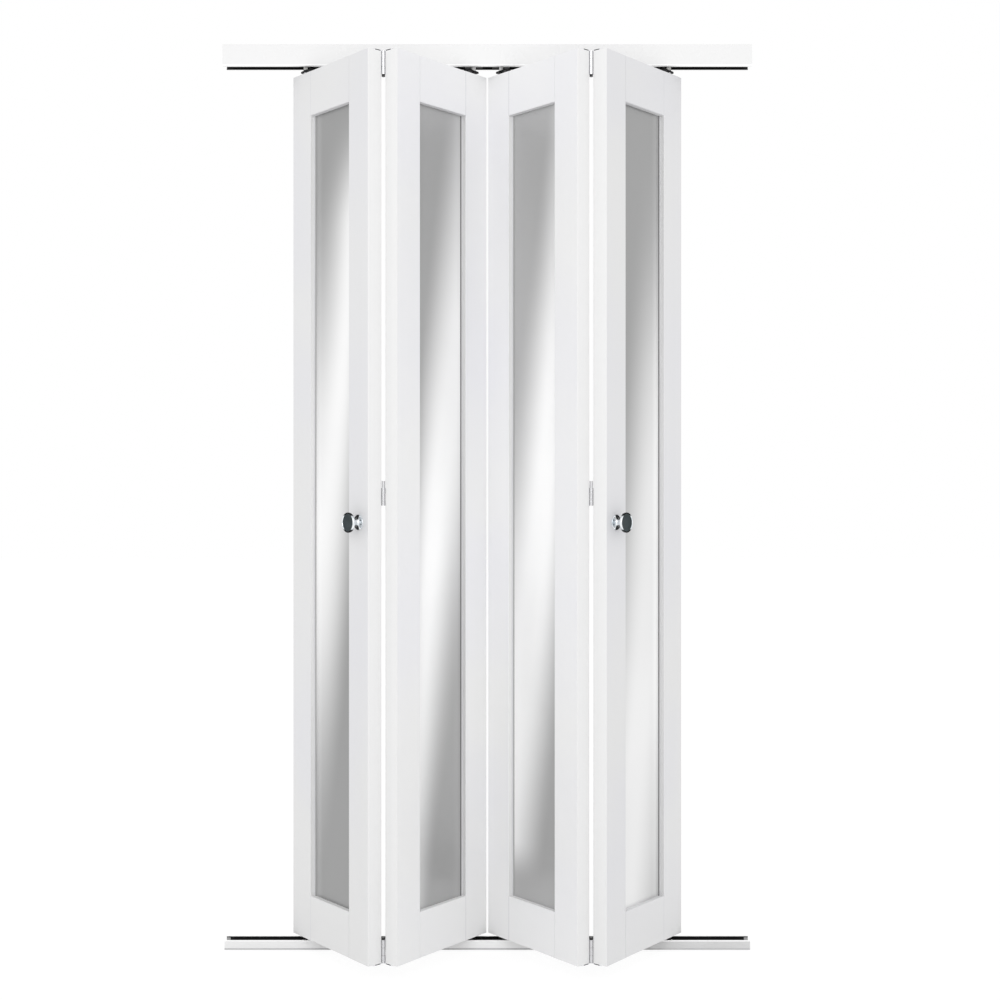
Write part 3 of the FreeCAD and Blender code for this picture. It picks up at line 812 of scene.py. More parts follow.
@dataclass(frozen=True)
class HingeSteel(Finish):
    """Zinc-plated hinge steel: bright round the barrels, with painted shade down their sides and
    on the hinges low on the leaf, dull on the plates and dark on the end tabs.
    """

    leaf: Leaf
    bright: Colour = grey(238, 240)
    low_barrel_shade: Colour = grey(216, 218)
    low_height: float = 1.4
    barrel_side_shade: Colour = grey(186, 190)
    barrel_side_shade_span: Span = (0.0024, 0.0034)
    dull: Colour = grey(136, 141)
    plate_span: Span = (0.0045, 0.00585)
    tab: Colour = grey(84, 90)
    tab_ends: Colour = grey(232, 234)
    tab_start: Span = (0.0055, 0.0075)
    tab_end: Span = (0.0195, 0.0215)
    tab_low: float = 0.0321
    tab_high: float = 1.9919
    scale: Point = (300.0, 300.0, 1500.0)
    streak_share: float = 0.12
    depth: float = 0.00001
    relief: float = 0.3
    smudge_size: float = 120.0
    roughness: Span = (0.24, 0.34)

    def wire(self, surface: Surface) -> None:
        """Wires the plating, its dull seams and its tabs.

        Args:
            surface: The material that is wired.
        """
        place = surface.on_leaf(self.leaf)
        # Painted shade: the barrels of the hinges low on the leaf are darker.
        low = surface.calc("LESS_THAN", place["Height"], self.low_height)
        # Painted shade down the barrels' sides, away from the hinge axis.
        off = surface.gap(surface.axes()["X"], self.leaf.hinge.x)
        barrel = surface.mix(surface.ease(off, *self.barrel_side_shade_span),
                             surface.mix(low, self.bright, self.low_barrel_shade), self.barrel_side_shade)
        colour = surface.mix(surface.ease(place["Run"], *self.plate_span), barrel, self.dull)
        streaks = surface.streaks((place["Run"], place["Depth"], place["Height"]), self.scale)
        share = surface.calc("MULTIPLY", streaks["Streaks"], self.streak_share)
        worn = surface.mix(share, colour, self.dull)
        end = surface.calc("MAXIMUM", surface.calc("GREATER_THAN", place["Height"], self.tab_high),
                           surface.calc("LESS_THAN", place["Height"], self.tab_low))
        folded = surface.between(place["Depth"], self.tab_start, self.tab_end)
        tab = surface.mix(folded, self.tab_ends, self.tab)
        surface.give(Base_Color=surface.mix(end, worn, tab), Metallic=1.0)
        surface.emboss(streaks["Height"], self.depth, self.relief)
        surface.smudge(self.smudge_size, self.roughness)


@dataclass(frozen=True)
class KnobChrome(Finish):
    """Bright chrome with painted reflections: two dark bands, one above and one below the knob's
    axis.
    """

    leaf: Leaf
    axis_height: float
    inner: Span
    outer: Span
    side: Span = (0.0, 0.001)
    bright: Colour = tone(244, 247, 249)
    soft: Colour = tone(214, 222, 228)
    dark: Colour = tone(14, 16, 18)
    patches: float = 90.0
    amount: float = 0.7
    smudge_size: float = 150.0
    roughness: Span = (0.06, 0.1)

    def wire(self, surface: Surface) -> None:
        """Wires the chrome and its dark bands.

        Args:
            surface: The material that is wired.
        """
        # Painted reflections: dark bands set above and below the axis, on the stem only on its
        # side away from the hinge.
        away = surface.gap(surface.axes()["Z"], self.axis_height)
        beside = surface.ease(surface.on_leaf(self.leaf)["Run"], *self.side)
        band = surface.calc("MULTIPLY", surface.between(away, self.inner, self.outer), beside)
        drifted = surface.drift((self.bright, self.soft), self.patches, self.amount)
        surface.give(Base_Color=surface.mix(band, drifted, self.dark), Metallic=1.0)
        surface.smudge(self.smudge_size, self.roughness)


@dataclass(frozen=True)
class Band:
    """The slanting band of light in one mirror, a painted reflection, in metres.

    Its centre is a curve over the run, and it fades over its fall above and below a core. It
    ends at its foot and its head, and the mirror is painted paler at its far rim.
    """

    centre: float
    slope: float
    bow: float
    core: float
    fall: float
    metallic: float
    bright: Colour
    dark: Colour
    rim_dark: Colour
    rim_bright: Colour = WHITE
    middle: float = 0.153
    foot_span: Span = (-0.2, -0.1)
    head_span: Span = (2.1, 2.2)
    rim_span: Span = (0.188, 0.212)

    def marks(self) -> dict[str, float]:
        """Returns the value of each input of the band's shader group."""
        return {"Middle": self.middle, "Centre": self.centre, "Slope": self.slope,
                "Bow": self.bow, "Core": self.core, "Fall": self.fall,
                "FootLow": self.foot_span[0], "FootHigh": self.foot_span[1],
                "HeadLow": self.head_span[0], "HeadHigh": self.head_span[1],
                "RimStart": self.rim_span[0], "RimEnd": self.rim_span[1]}


BANDS = {
    Leaf.OUTER_LEFT: Band(centre=1.115, slope=-4.03, bow=23.7, core=0.0, fall=0.81,
                          metallic=0.55, bright=grey(250), dark=grey(148),
                          rim_dark=grey(168), head_span=(1.62, 1.90)),
    Leaf.INNER_LEFT: Band(centre=1.080, slope=5.47, bow=-18.3, core=0.04, fall=0.71,
                          metallic=0.20, bright=WHITE, dark=grey(161), rim_dark=grey(169)),
    Leaf.INNER_RIGHT: Band(centre=0.815, slope=-5.63, bow=13.0, core=0.09, fall=0.72,
                           metallic=0.20, bright=WHITE, dark=grey(169), rim_dark=grey(173),
                           foot_span=(0.16, 0.265)),
    Leaf.OUTER_RIGHT: Band(centre=0.600, slope=5.98, bow=-13.0, core=0.11, fall=1.13,
                           metallic=0.55, bright=grey(237), dark=grey(154),
                           rim_dark=grey(172), head_span=(1.20, 1.95)),
}


@dataclass(frozen=True)
class MirrorGlass(Finish):
    """Silvered glass, softly misted, that carries its slanting band of light, painted as a
    reflection.
    """

    leaf: Leaf
    cool: float = 0.97
    patches: float = 3.0
    amount: float = 0.06
    smudge_size: float = 5.0
    mist: Span = (0.30, 0.36)
    ripples: float = 18.0
    depth: float = 0.00002
    relief: float = 0.3

    def wire(self, surface: Surface) -> None:
        """Wires the silver, the band and the mist.

        Args:
            surface: The material that is wired.
        """
        band, place = BANDS[self.leaf], surface.on_leaf(self.leaf)
        # Painted reflection: the band of light, with painted light at the far rim.
        light = surface.group(band_group(), Run=place["Run"], Height=place["Height"],
                              **band.marks())
        dark = surface.mix(light["Rim"], band.dark, band.rim_dark)
        bright = surface.mix(light["Rim"], band.bright, band.rim_bright)
        silver = surface.mix(light["Band"], dark, bright)
        red, green, blue = band.dark
        cool = (red * self.cool, green * self.cool, blue)
        surface.give(Base_Color=surface.drift((silver, cool), self.patches, self.amount),
                     Metallic=band.metallic, Specular_IOR_Level=1.0, IOR=1.7)
        surface.emboss(surface.peel(self.ripples)["Height"], self.depth, self.relief)
        surface.smudge(self.smudge_size, self.mist)


# Painted shade: the bottom track darkens towards its ends, most at the right.
TRACK_WHITE = LongCoating("sprayed_white_track", "track_white", grey(245), grey(240, 241),
                          speckle=0.04, left=grey(230), right=grey(200))
# Painted highlight: the rolled lip is whiter than the track it tops.
TRACK_LIP_HIGHLIGHT = Coating("rolled_lip_highlight", "track_white", grey(255), grey(250))
# Painted shadow: a grey strip standing in for the shade line where the track meets the floor.
TRACK_FOOT_SHADE = Coating("grey_foot_shade_strip", "track_white", grey(196), grey(186, 188))
TRACK_BLACK = Coating("black_anodised_track", "track_black", grey(18), grey(27, 28),
                      roughness=(0.35, 0.5), gloss=0.3)
LINER_BLACK = LinerCoating("black_liner", "liner_black", grey(20), grey(32, 33),
                           ripples=400.0, roughness=(0.45, 0.6), gloss=0.25)
# Painted shade at the fascia's left end, and a painted highlight along its bottom hem.
FASCIA_WHITE = LongCoating("glossy_white_fascia", "fascia_white", grey(234), grey(231, 232),
                           roughness=(0.25, 0.34), left=grey(231), right=grey(234),
                           hem_highlight_span=(2.0132, 2.0142))
STRAP_BLACK = Coating("black_strap_paint", "strap_black", grey(20, 21), grey(34, 36),
                      patches=60.0, roughness=(0.45, 0.55), gloss=0.2)
NYLON = Coating("white_nylon", "nylon_white", grey(240, 237), grey(228, 222),
                patches=40.0, ripples=1800.0, roughness=(0.35, 0.45))
PIVOT_NYLON = PivotCoating("pivot_nylon", "nylon_white", grey(250), grey(244),
                           patches=40.0, ripples=1800.0, amount=0.2, speckle=0.02)
BOARD = Coating("white_backing_board", "backing_board", tone(216, 214, 210),
                tone(204, 201, 196), patches=5.0, ripples=420.0, depth=0.00035,
                roughness=(0.62, 0.75), speckle=0.35, gloss=0.2)
# Painted shade: the bead's grey stands in for the shade under the top rail.
SHADE_GREY_BEAD = Coating("grey_head_bead_shade", "mirror", grey(217, 218), grey(209, 211),
               patches=8.0, ripples=1500.0, roughness=(0.5, 0.6))
JOINT = Coating("filled_joint", "leaf_white", grey(216, 218), grey(209, 213),
                patches=8.0)
PIN_STEEL = Metal("pin_steel_turned", "pin_steel", grey(186, 189), grey(148, 152))
SCREW_STEEL = Metal("zinc_screws", "hinge_steel", tone(196, 197, 200), tone(150, 152, 156),
                    scale=(900.0, 900.0, 900.0), roughness=(0.25, 0.35))
PIN_CAPS = PinCaps("black_pin_caps", "hinge_pin_black")
SOCKET_BLACK = Coating("black_nylon_sockets", "liner_black", grey(22, 23),
                       grey(34, 35), patches=40.0, ripples=1800.0,
                       roughness=(0.45, 0.55), gloss=0.25)
# Painted shadow lines on the far seals, darker on some leaves than on others.
SEAL_SHADOW_LINES = {Leaf.OUTER_LEFT: grey(160), Leaf.INNER_LEFT: grey(112),
              Leaf.INNER_RIGHT: grey(160), Leaf.OUTER_RIGHT: grey(112)}
NODE_FINISHES = {
    "top_track": TRACK_BLACK, "bottom_track": TRACK_WHITE, "bottom_track_liner": LINER_BLACK,
    "fascia": FASCIA_WHITE, "top_pivot_sockets": SOCKET_BLACK,
    "bottom_pivot_sockets": SOCKET_BLACK, "left_hinge_pins": PIN_CAPS,
    "right_hinge_pins": PIN_CAPS,
}
LEAF_FINISHES = {"backing_board": BOARD, "strap_bracket": STRAP_BLACK}
INNER_FINISHES = {"pivot_pins": PIVOT_NYLON}
OUTER_FINISHES = {"guide_pins": PIN_STEEL, "top_roller": NYLON, "bottom_roller": NYLON}


def dress(node: str, finish: Finish) -> None:
    """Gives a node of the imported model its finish.

    Args:
        node: The node's name.
        finish: Its finish.
    """
    mesh = frame["nodes"][node].data
    mesh.materials.clear()
    mesh.materials.append(finish.material())
    LOG.info("dressed %s with %s", node, finish.name)


# ---------------------------------------------------------------- meshes


def arc(centre: Span, reach: Span, start: float, end: float, steps: int) -> list[Span]:
    """Lays corners along an arc of an ellipse.

    Args:
        centre: Its centre.
        reach: Its half width and half height.
        start: The angle of the first corner, in degrees from the first axis.
        end: The angle of the last one.
        steps: How many flats lie between them.

    Returns:
        The corners.
    """
    turns = [math.radians(start + (end - start) * step / steps) for step in range(steps + 1)]
    return [(centre[0] + reach[0] * math.cos(turn), centre[1] + reach[1] * math.sin(turn))
            for turn in turns]


@dataclass
class Solid:
    """A closed mesh while it is made. It is drawn in millimetres and laid by a matrix."""

    place: Matrix = field(default_factory=Matrix)
    mesh: bmesh.types.BMesh = field(default_factory=bmesh.new)

    def corners(self, places: Sequence[Point]) -> Loop:
        """Adds a corner at each place and returns them."""
        return [self.mesh.verts.new(self.place @ Vector(at)) for at in places]

    def ring(self, radius: float, height: float, segments: int) -> Loop:
        """Adds a ring about the Z axis, or one corner if it has no radius, and returns it."""
        turns = [2 * math.pi * i / segments for i in range(segments if radius > 0 else 1)]
        return self.corners([(radius * math.cos(turn), radius * math.sin(turn), height)
                             for turn in turns])

    def wrap(self, low: Loop, high: Loop) -> None:
        """Joins two outlines with faces.

        Args:
            low: The corners of one.
            high: The corners of the other: as many, unless one outline is a single corner.
        """
        for i in range(max(len(low), len(high))):
            corners = [low[i % len(low)], low[(i + 1) % len(low)],
                       high[(i + 1) % len(high)], high[i % len(high)]]
            self.mesh.faces.new(list(dict.fromkeys(corners)))

    def lathe(self, profile: Sequence[Span], segments: int = 72) -> Self:
        """Turns an outline about the Z axis.

        Args:
            profile: Radius and height of each corner, from the axis at one end to the axis at
                the other, or round a ring that closes on itself.
            segments: How many flats go round.

        Returns:
            The solid itself.
        """
        rings = [self.ring(radius, height, segments) for radius, height in profile]
        pairs = list(zip(rings, rings[1:]))
        if profile[0][0] > 0:
            pairs.append((rings[-1], rings[0]))
        for low, high in pairs:
            self.wrap(low, high)
        return self

    def prism(self, ends: list[list[Point]]) -> Self:
        """Joins two ends of the same outline.

        Args:
            ends: The corners of each end, in the same order.

        Returns:
            The solid itself.
        """
        first, last = [self.corners(end) for end in ends]
        self.wrap(first, last)
        self.mesh.faces.new(first)
        self.mesh.faces.new(last)
        return self

    def upright(self, section: Sequence[Span], low: float, high: float) -> Self:
        """Stands a section of X and Y corners up from one height to another."""
        return self.prism([[(x, y, z) for x, y in section] for z in (low, high)])

    def drawn(self, section: Sequence[Span], start: float, end: float) -> Self:
        """Draws a section of Y and Z corners out from one place on X to another."""
        return self.prism([[(x, y, z) for y, z in section] for x in (start, end)])

    def piece(self, name: str, finish: Finish, body: str, sharp: float = 32.0) -> bpy.types.Object:
        """Ends the mesh and makes it a piece that rides on a body.

        Args:
            name: The piece's name.
            finish: Its finish.
            body: The body it rides on.
            sharp: The least angle that shows as an edge, in degrees.

        Returns:
            The piece.
        """
        bmesh.ops.recalc_face_normals(self.mesh, faces=self.mesh.faces)
        data = bpy.data.meshes.new(name)
        self.mesh.to_mesh(data)
        self.mesh.free()
        data.shade_smooth()
        data.set_sharp_from_angle(angle=math.radians(sharp))
        data.materials.append(finish.material())
        made = add_object(name, data)
        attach(made, body)
        LOG.info("made %s on %s: %d faces", name, body, len(data.polygons))
        return made


@dataclass(frozen=True)
class ScrewHead:
    """A domed screw head with a cross recess. The shares are of its radius and its rise."""

    radius: float
    rise: float
    dome: tuple[Span, ...] = ((1.0, 0.0), (1.0, 0.25), (0.93, 0.6), (0.8, 0.87), (0.68, 1.0))
    arm_width: float = 0.14
    arm_reach: float = 0.527
    recess_floor: float = 0.2
    recess_taper: float = 0.8
    segments: int = 24

    def fit(self, name: str, body: str, seats: Sequence[Matrix]) -> None:
        """Makes a set of heads as one piece.

        Args:
            name: The piece's name.
            body: The body it rides on.
            seats: Where each head sits, with +Z out of its seat.
        """
        solid = Solid()
        for seat in seats:
            solid.place = seat
            self.add(solid)
        solid.piece(name, SCREW_STEEL, body)

    def add(self, solid: Solid) -> None:
        """Adds one head.

        Args:
            solid: The mesh it is added to, where it is placed.
        """
        rings = [solid.ring(share * self.radius, lift * self.rise, self.segments)
                 for share, lift in self.dome]
        for low, high in zip(rings, rings[1:]):
            solid.wrap(low, high)
        solid.mesh.faces.new(rings[0])
        taper, depth = self.recess_taper, self.rise * self.recess_floor
        top = solid.corners([(x, y, self.rise) for x, y in self.cross()])
        floor = solid.corners([(x * taper, y * taper, depth) for x, y in self.cross()])
        solid.wrap(top, floor)
        solid.mesh.faces.new(floor)
        rim = [solid.mesh.edges.get((loop[i], loop[(i + 1) % len(loop)]))
               for loop in (rings[-1], top) for i in range(len(loop))]
        bmesh.ops.triangle_fill(solid.mesh, edges=rim, use_beauty=True)

    def cross(self) -> list[Span]:
        """Returns the corners of the cross, as X and Y."""
        half, far = self.arm_width * self.radius, self.arm_reach * self.radius
        return [(half, half), (half, far), (-half, far), (-half, half), (-far, half),
                (-far, -half), (-half, -half), (-half, -far), (half, -far), (half, -half),
                (far, -half), (far, half)]


# ---------------------------------------------------------------- sub-assemblies


@dataclass
class LeafTrim:
    """What is seen on every leaf: its paint, its mirror and seal, its joints and its screws."""

    leaf: Leaf
    face: float = 39.0
    opening_near: float = 73.5
    opening_far: float = 223.5
    opening_low: float = 132.0
    opening_high: float = 1892.0
    leaf_low: float = 32.0
    leaf_high: float = 1992.0
    mirror_front: float = 28.0
    seal_widths: Span = (2.4, 6.6)
    seal_rise: float = 1.4
    seal_foot: float = 0.4
    seal_bevel: float = 0.2
    seal_crown: Span = (0.7, 0.3)
    bead_drop: float = 0.8
    bead_setback: float = 1.2
    bead_ridge: Span = (1.0, 0.4)
    bead_bevel: Span = (0.5, 0.3)
    joint_width: float = 1.8
    joint_crown: float = 0.6
    joint_rise: float = 0.15
    plate_face: float = 2.0
    plate_screw: float = 16.5
    plate_screw_heights: tuple[float, ...] = (42.0, 72.0, 1025.0, 1043.0, 1952.0, 1982.0)
    foot_top: float = 1995.0
    foot_screws: Span = (210.5, 227.0)
    leaf_middle: float = 21.5
    plate_head: ScrewHead = ScrewHead(radius=3.6, rise=0.9)
    foot_head: ScrewHead = ScrewHead(radius=3.6, rise=2.0)

    def build(self) -> None:
        """Builds and dresses everything on the leaf."""
        self.dress_nodes()
        self.seals()
        self.bead()
        self.joints()
        self.screws()

    def dress_nodes(self) -> None:
        """Paints the stiles and rails, silvers the mirror and gives each fitting its finish."""
        leaf = self.leaf
        upright = PaintedWood(f"{leaf}_upright_paint", "leaf_white", leaf, upright=True)
        level = PaintedWood(f"{leaf}_level_paint", "leaf_white", leaf, upright=False)
        finishes = {"hinge_stile": upright, "end_stile": upright, "top_rail": level,
                    "bottom_rail": level, "mirror": MirrorGlass(f"{leaf}_silver", "mirror", leaf),
                    "hinge_plates": HingeSteel(f"{leaf}_hinge_zinc", "hinge_steel", leaf)}
        fittings = OUTER_FINISHES if leaf.is_outer else INNER_FINISHES
        for part, finish in (finishes | LEAF_FINISHES | fittings).items():
            dress(f"{leaf}_{part}", finish)

    def seals(self) -> None:
        """Makes the thin grey seals up both sides of the mirror."""
        back, front = self.mirror_front, self.mirror_front + self.seal_rise
        near, far = self.seal_widths
        solid = Solid(self.leaf.place())
        for edge, width in ((self.opening_near, near), (self.opening_far, -far)):
            crown = [(edge + width * share, front - drop)
                     for share, drop in zip(self.seal_crown, (self.seal_bevel, 0.0))]
            section = [(edge, back), (edge + width, back), (edge + width, back + self.seal_foot),
                       *crown, (edge, front)]
            solid.upright(section, self.opening_low, self.opening_high)
        # The far seal carries a painted shadow line where it meets the glass.
        coat = SealCoating(f"{self.leaf}_seal_coat", "mirror", grey(214, 216),
                           grey(206, 209), patches=8.0, ripples=1500.0, roughness=(0.35, 0.5),
                           leaf=self.leaf)
        solid.piece(f"{self.leaf}_mirror_seals", coat, self.leaf.body)

    def bead(self) -> None:
        """Makes the bead along the head of the mirror, whose grey is painted shade under the top
        rail.
        """
        top, low = self.opening_high, self.opening_high - self.bead_drop
        back, lip = self.mirror_front, self.face - self.bead_setback
        (half, drop), (inset, rise) = self.bead_ridge, self.bead_bevel
        section = [(back, top), (back, low), (back + half, low - drop), (back + 2 * half, low),
                   (lip - inset, low), (lip, low + rise), (lip, top)]
        solid = Solid(self.leaf.place()).drawn(section, self.opening_near, self.opening_far)
        solid.piece(f"{self.leaf}_head_bead", SHADE_GREY_BEAD, self.leaf.body)

    def joints(self) -> None:
        """Makes the filled joints where the end stile meets the two rails."""
        middle, half, rise = self.opening_far, self.joint_width / 2, self.joint_rise
        crown = half * self.joint_crown
        section = [(middle - half, self.face), (middle - crown, self.face + rise),
                   (middle + crown, self.face + rise), (middle + half, self.face),
                   (middle, self.face - rise)]
        solid = Solid(self.leaf.place())
        for low, high in ((self.leaf_low, self.opening_low), (self.opening_high, self.leaf_high)):
            solid.upright(section, low, high)
        solid.piece(f"{self.leaf}_joint_filler", JOINT, self.leaf.body)

    def screws(self) -> None:
        """Makes the heads of the screws that hold the hinge plates and the strap."""
        leaf = self.leaf
        behind = [leaf.place((self.plate_screw, self.plate_face, height)) @ Facing.BACK.value
                  for height in self.plate_screw_heights]
        self.plate_head.fit(f"{leaf}_hinge_screws", leaf.body, behind)
        above = [leaf.place((run, self.leaf_middle, self.foot_top)) for run in self.foot_screws]
        self.foot_head.fit(f"{leaf}_strap_screws", leaf.body, above)


@dataclass
class Knob:
    """The knob of an outer leaf: a turned chrome stem, a dark dished disc in a chrome rim that is
    painted dark above and below as a reflection, and the bolt that holds them from behind."""

    leaf: Leaf
    run: float = 36.5
    height: float = 979.0
    face: float = 39.0
    back: float = 4.0
    rose_radius: float = 16.5
    rose_thick: float = 2.5
    rose_round: float = 1.2
    flare: float = 7.0
    neck_radius: float = 6.5
    standoff: float = 23.5
    head_flare: float = 2.5
    head_flare_height: float = 5.0
    radius: float = 21.75
    thick: float = 6.0
    rim: float = 3.0
    rim_lip: float = 0.8
    rim_round: float = 1.0
    dish: float = 0.8
    dish_depth: float = 0.5
    dish_rings: tuple[float, ...] = (0.9, 0.75, 0.6, 0.45, 0.3, 0.15, 0.0)
    bevel: float = 2.5
    stem_sharp: float = 50.0
    bolt: ScrewHead = ScrewHead(radius=4.5, rise=2.2)

    @property
    def axis(self) -> Matrix:
        """Where the knob's axis stands on the leaf, with +Z out of it."""
        return self.leaf.place((self.run, self.face, self.height)) @ Facing.OUT.value

    def build(self) -> None:
        """Builds the stem, the disc, its rim and the bolt head."""
        self.stem()
        self.disc()
        self.disc_rim()
        behind = self.leaf.place((self.run, self.back, self.height)) @ Facing.BACK.value
        self.bolt.fit(f"{self.leaf}_knob_bolt", self.leaf.body, [behind])

    def stem(self) -> None:
        """Turns the stem, from its rose on the leaf to the back of the disc."""
        flat = self.rose_radius - self.rose_round
        span, start = flat - self.neck_radius, self.standoff - self.head_flare_height
        rose = arc((flat, self.rose_thick - self.rose_round), (self.rose_round,) * 2, 0, 90,
                   steps=4)
        foot = arc((flat, self.rose_thick + self.flare), (span, self.flare), 270, 180, steps=12)
        head = arc((self.neck_radius + self.head_flare, start),
                   (self.head_flare, self.head_flare_height), 180, 90, steps=8)
        solid = Solid(self.axis).lathe([(0.0, 0.0), (self.rose_radius, 0.0), *rose, *foot[1:],
                                        *head, (0.0, self.standoff)])
        # Painted reflections: dark bands on the flare, above and below the axis.
        chrome = KnobChrome(f"{self.leaf}_stem_chrome", "knob_chrome", self.leaf,
                            self.height * MM, inner=(0.0050, 0.0066), outer=(0.0160, 0.0175),
                            side=(0.0290, 0.0335))
        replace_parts(solid.piece(f"{self.leaf}_turned_stem", chrome, self.leaf.body,
                                self.stem_sharp), f"{self.leaf}_knob_stem")

    def disc(self) -> None:
        """Turns the dished disc."""
        back, edge = self.standoff, self.standoff + self.thick - self.dish
        inner = self.radius - self.rim
        dished = [(inner * share, edge - self.dish_depth * math.cos(share * math.pi / 2))
                  for share in self.dish_rings]
        solid = Solid(self.axis).lathe([(0.0, back), (inner, back), (inner, edge), *dished])
        lacquer = KnobFace(f"{self.leaf}_knob_lacquer", "knob_dark", tone(66, 74, 77),
                           tone(46, 54, 56), scale=(500.0, 500.0, 2600.0),
                           roughness=(0.3, 0.4), leaf=self.leaf)
        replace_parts(solid.piece(f"{self.leaf}_dished_disc", lacquer, self.leaf.body),
                    f"{self.leaf}_knob_head")

    def disc_rim(self) -> None:
        """Turns the rim round the disc."""
        back, front, inner = self.standoff, self.standoff + self.thick, self.radius - self.rim
        behind = arc((self.radius - self.bevel, back + self.bevel), (self.bevel,) * 2, -90, 0,
                     steps=6)
        before = arc((self.radius - self.rim_round, front - self.rim_round),
                     (self.rim_round,) * 2, 0, 90, steps=5)
        solid = Solid(self.axis).lathe([(inner, back), *behind, *before,
                                        (inner + self.rim_lip, front),
                                        (inner, front - self.dish)])
        # Painted reflections: the rim is dark above and below the axis and bright at its sides.
        chrome = KnobChrome(f"{self.leaf}_rim_chrome", "knob_dark", self.leaf,
                            self.height * MM, inner=(0.0125, 0.0165), outer=(0.03, 0.04))
        solid.piece(f"{self.leaf}_disc_rim", chrome, self.leaf.body)


@dataclass
class Tracks:
    """The tracks and fascia: their finishes, their lips and the screws that hold them."""

    half_length: float = 598.5
    front: float = -15.0
    bottom_height: float = 21.7
    lip_reach: Span = (0.75, 1.5)
    foot_height: float = 3.7
    foot_proud: float = 0.5
    screw_places: tuple[float, ...] = (-560.0, -186.67, 186.67, 560.0)
    roof_under: float = 2058.0
    liner_floor: float = 3.0
    roof_head: ScrewHead = ScrewHead(radius=4.2, rise=1.8)
    floor_head: ScrewHead = ScrewHead(radius=4.2, rise=0.8)

    def build(self) -> None:
        """Dresses the tracks and makes their trim."""
        for node, finish in NODE_FINISHES.items():
            dress(node, finish)
        # A real rolled lip, painted whiter as a highlight along the track's top edge.
        lip = arc((self.front, self.bottom_height - self.lip_reach[1]), self.lip_reach,
                  90, 270, steps=8)
        self.strip("bottom_track_lip", lip, TRACK_LIP_HIGHLIGHT)
        # A thin proud strip whose grey is a painted shadow along the track's foot.
        proud = self.front - self.foot_proud
        foot = [(self.front, 0.0), (proud, 0.0), (proud, self.foot_height - self.foot_proud),
                (self.front, self.foot_height)]
        self.strip("bottom_track_foot", foot, TRACK_FOOT_SHADE)
        self.screws("top_track_screws", self.roof_under, self.roof_head, Facing.DOWN)
        self.screws("bottom_track_screws", self.liner_floor, self.floor_head, Facing.UP)

    def strip(self, name: str, section: Sequence[Span], finish: Finish) -> None:
        """Makes a strip of Y and Z corners along the whole of the bottom track."""
        solid = Solid(TO_METRES).drawn(section, -self.half_length, self.half_length)
        solid.piece(name, finish, "tracks")

    def screws(self, name: str, height: float, head: ScrewHead, facing: Facing) -> None:
        """Makes a row of screw heads along a track, all at one height and facing one way."""
        head.fit(name, "tracks", [TO_METRES @ Matrix.Translation((run, 0.0, height))
                                  @ facing.value for run in self.screw_places])


# ---------------------------------------------------------------- studio and camera


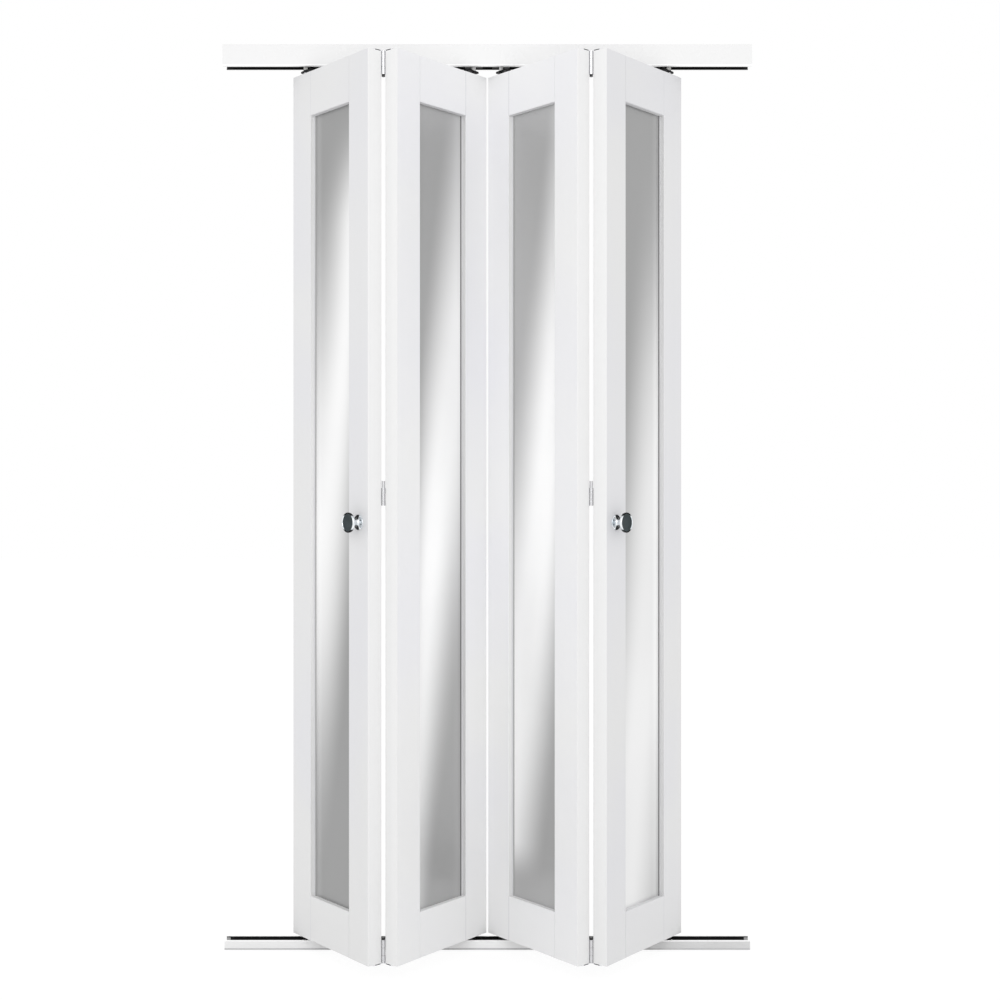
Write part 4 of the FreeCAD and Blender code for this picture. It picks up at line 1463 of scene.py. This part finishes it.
@dataclass
class Studio:
    """A plain pale studio: an even white surround, a floor and one broad soft lamp."""

    surround: float = 0.98
    floor_size: float = 30.0
    floor_drop: float = 0.0005
    floor_glow: float = 0.88
    floor_catch: float = 0.15
    floor_tone: float = 0.92
    lamp_place: Point = (-0.25, -2.9, 2.05)
    lamp_aim: Point = (0.0, 0.0, 1.0)
    lamp_size: float = 2.0
    lamp_power: float = 18.0

    def build(self) -> None:
        """Sets the view, the surround, the floor and the lamp."""
        bpy.context.scene.view_settings.view_transform = "Standard"
        self.world()
        self.floor()
        self.lamp()

    @staticmethod
    def seen_straight(wiring: Wiring) -> Socket:
        """Tells what the camera sees directly, in a gloss or through glass.

        Args:
            wiring: The shader tree that asks.

        Returns:
            1 for what is seen, and 0 for what only gives light.
        """
        path = wiring.node("ShaderNodeLightPath").outputs
        mirrored = wiring.calc("MAXIMUM", path["Is Glossy Ray"], path["Is Transmission Ray"])
        return wiring.calc("MAXIMUM", path["Is Camera Ray"], mirrored)

    def world(self) -> None:
        """Makes the surround: white to the eye, plainer as a light."""
        made = bpy.data.worlds.new("studio_surround")
        made.use_nodes = True
        bpy.context.scene.world = made
        wiring = Wiring(made.node_tree)
        sky = made.node_tree.nodes["Background"].inputs
        wiring.join(wiring.ease(self.seen_straight(wiring), 0.0, 1.0, self.surround, 1.0),
                    sky["Strength"])
        wiring.join(WHITE, sky["Color"])

    def floor(self) -> None:
        """Lays the floor."""
        half, low = self.floor_size / 2, -self.floor_drop
        data = bpy.data.meshes.new("studio_floor")
        data.from_pydata([(-half, -half, low), (half, -half, low), (half, half, low),
                          (-half, half, low)], [], [(0, 1, 2, 3)])
        data.materials.append(self.floor_material())
        piece = add_object("studio_floor", data)

    def floor_material(self) -> bpy.types.Material:
        """Makes the floor's material: white to the eye with the door's shadow kept.

        Returns:
            The material, which is pale as a surface.
        """
        made = bpy.data.materials.new("studio_floor")
        made.use_nodes = True
        wiring = Wiring(made.node_tree)
        made.node_tree.nodes.remove(made.node_tree.nodes["Principled BSDF"])
        catch = wiring.node("ShaderNodeBsdfDiffuse", {"Color": (self.floor_catch,) * 3})
        glow = wiring.node("ShaderNodeEmission", {"Color": WHITE, "Strength": self.floor_glow})
        seen = wiring.node("ShaderNodeAddShader", {0: catch.outputs[0], 1: glow.outputs[0]})
        plain = wiring.node("ShaderNodeBsdfDiffuse", {"Color": (self.floor_tone,) * 3})
        both = wiring.node("ShaderNodeMixShader", {0: self.seen_straight(wiring),
                                                   1: plain.outputs[0], 2: seen.outputs[0]})
        wiring.join(both.outputs[0], made.node_tree.nodes["Material Output"].inputs["Surface"])
        return made

    def lamp(self) -> None:
        """Hangs the broad lamp in front of the door, above and to the left."""
        data = bpy.data.lights.new("broad_lamp", "AREA")
        data.shape = "SQUARE"
        data.size = self.lamp_size
        data.energy = self.lamp_power
        lamp = add_object("broad_lamp", data)
        lamp.location = self.lamp_place
        aim = Vector(self.lamp_aim) - Vector(self.lamp_place)
        lamp.rotation_euler = aim.to_track_quat("-Z", "Y").to_euler()


@dataclass
class Viewpoint:
    """The camera in front of the door, level, at the middle of its height."""

    place: Point = (0.0, -3.165, 1.074)
    lens: float = 49.79
    film: float = 36.0
    shift: Span = (0.0127, -0.0218)
    clip: Span = (0.05, 60.0)

    def build(self) -> None:
        """Sets the camera up."""
        data = bpy.data.cameras.new("viewpoint")
        data.lens = self.lens
        data.sensor_width = self.film
        data.shift_x, data.shift_y = self.shift
        data.clip_start, data.clip_end = self.clip
        camera = add_object("viewpoint", data)
        camera.location = self.place
        camera.rotation_euler = (math.pi / 2, 0.0, 0.0)
        bpy.context.scene.camera = camera


def main() -> None:
    """Builds the studio, the camera, the tracks and every leaf with its knob."""
    logging.basicConfig(level=logging.INFO, format="%(name)s: %(message)s")
    Studio().build()
    Viewpoint().build()
    Tracks().build()
    for leaf in Leaf:
        LeafTrim(leaf).build()
        if leaf.is_outer:
            Knob(leaf).build()


if __name__ == "__main__":
    main()
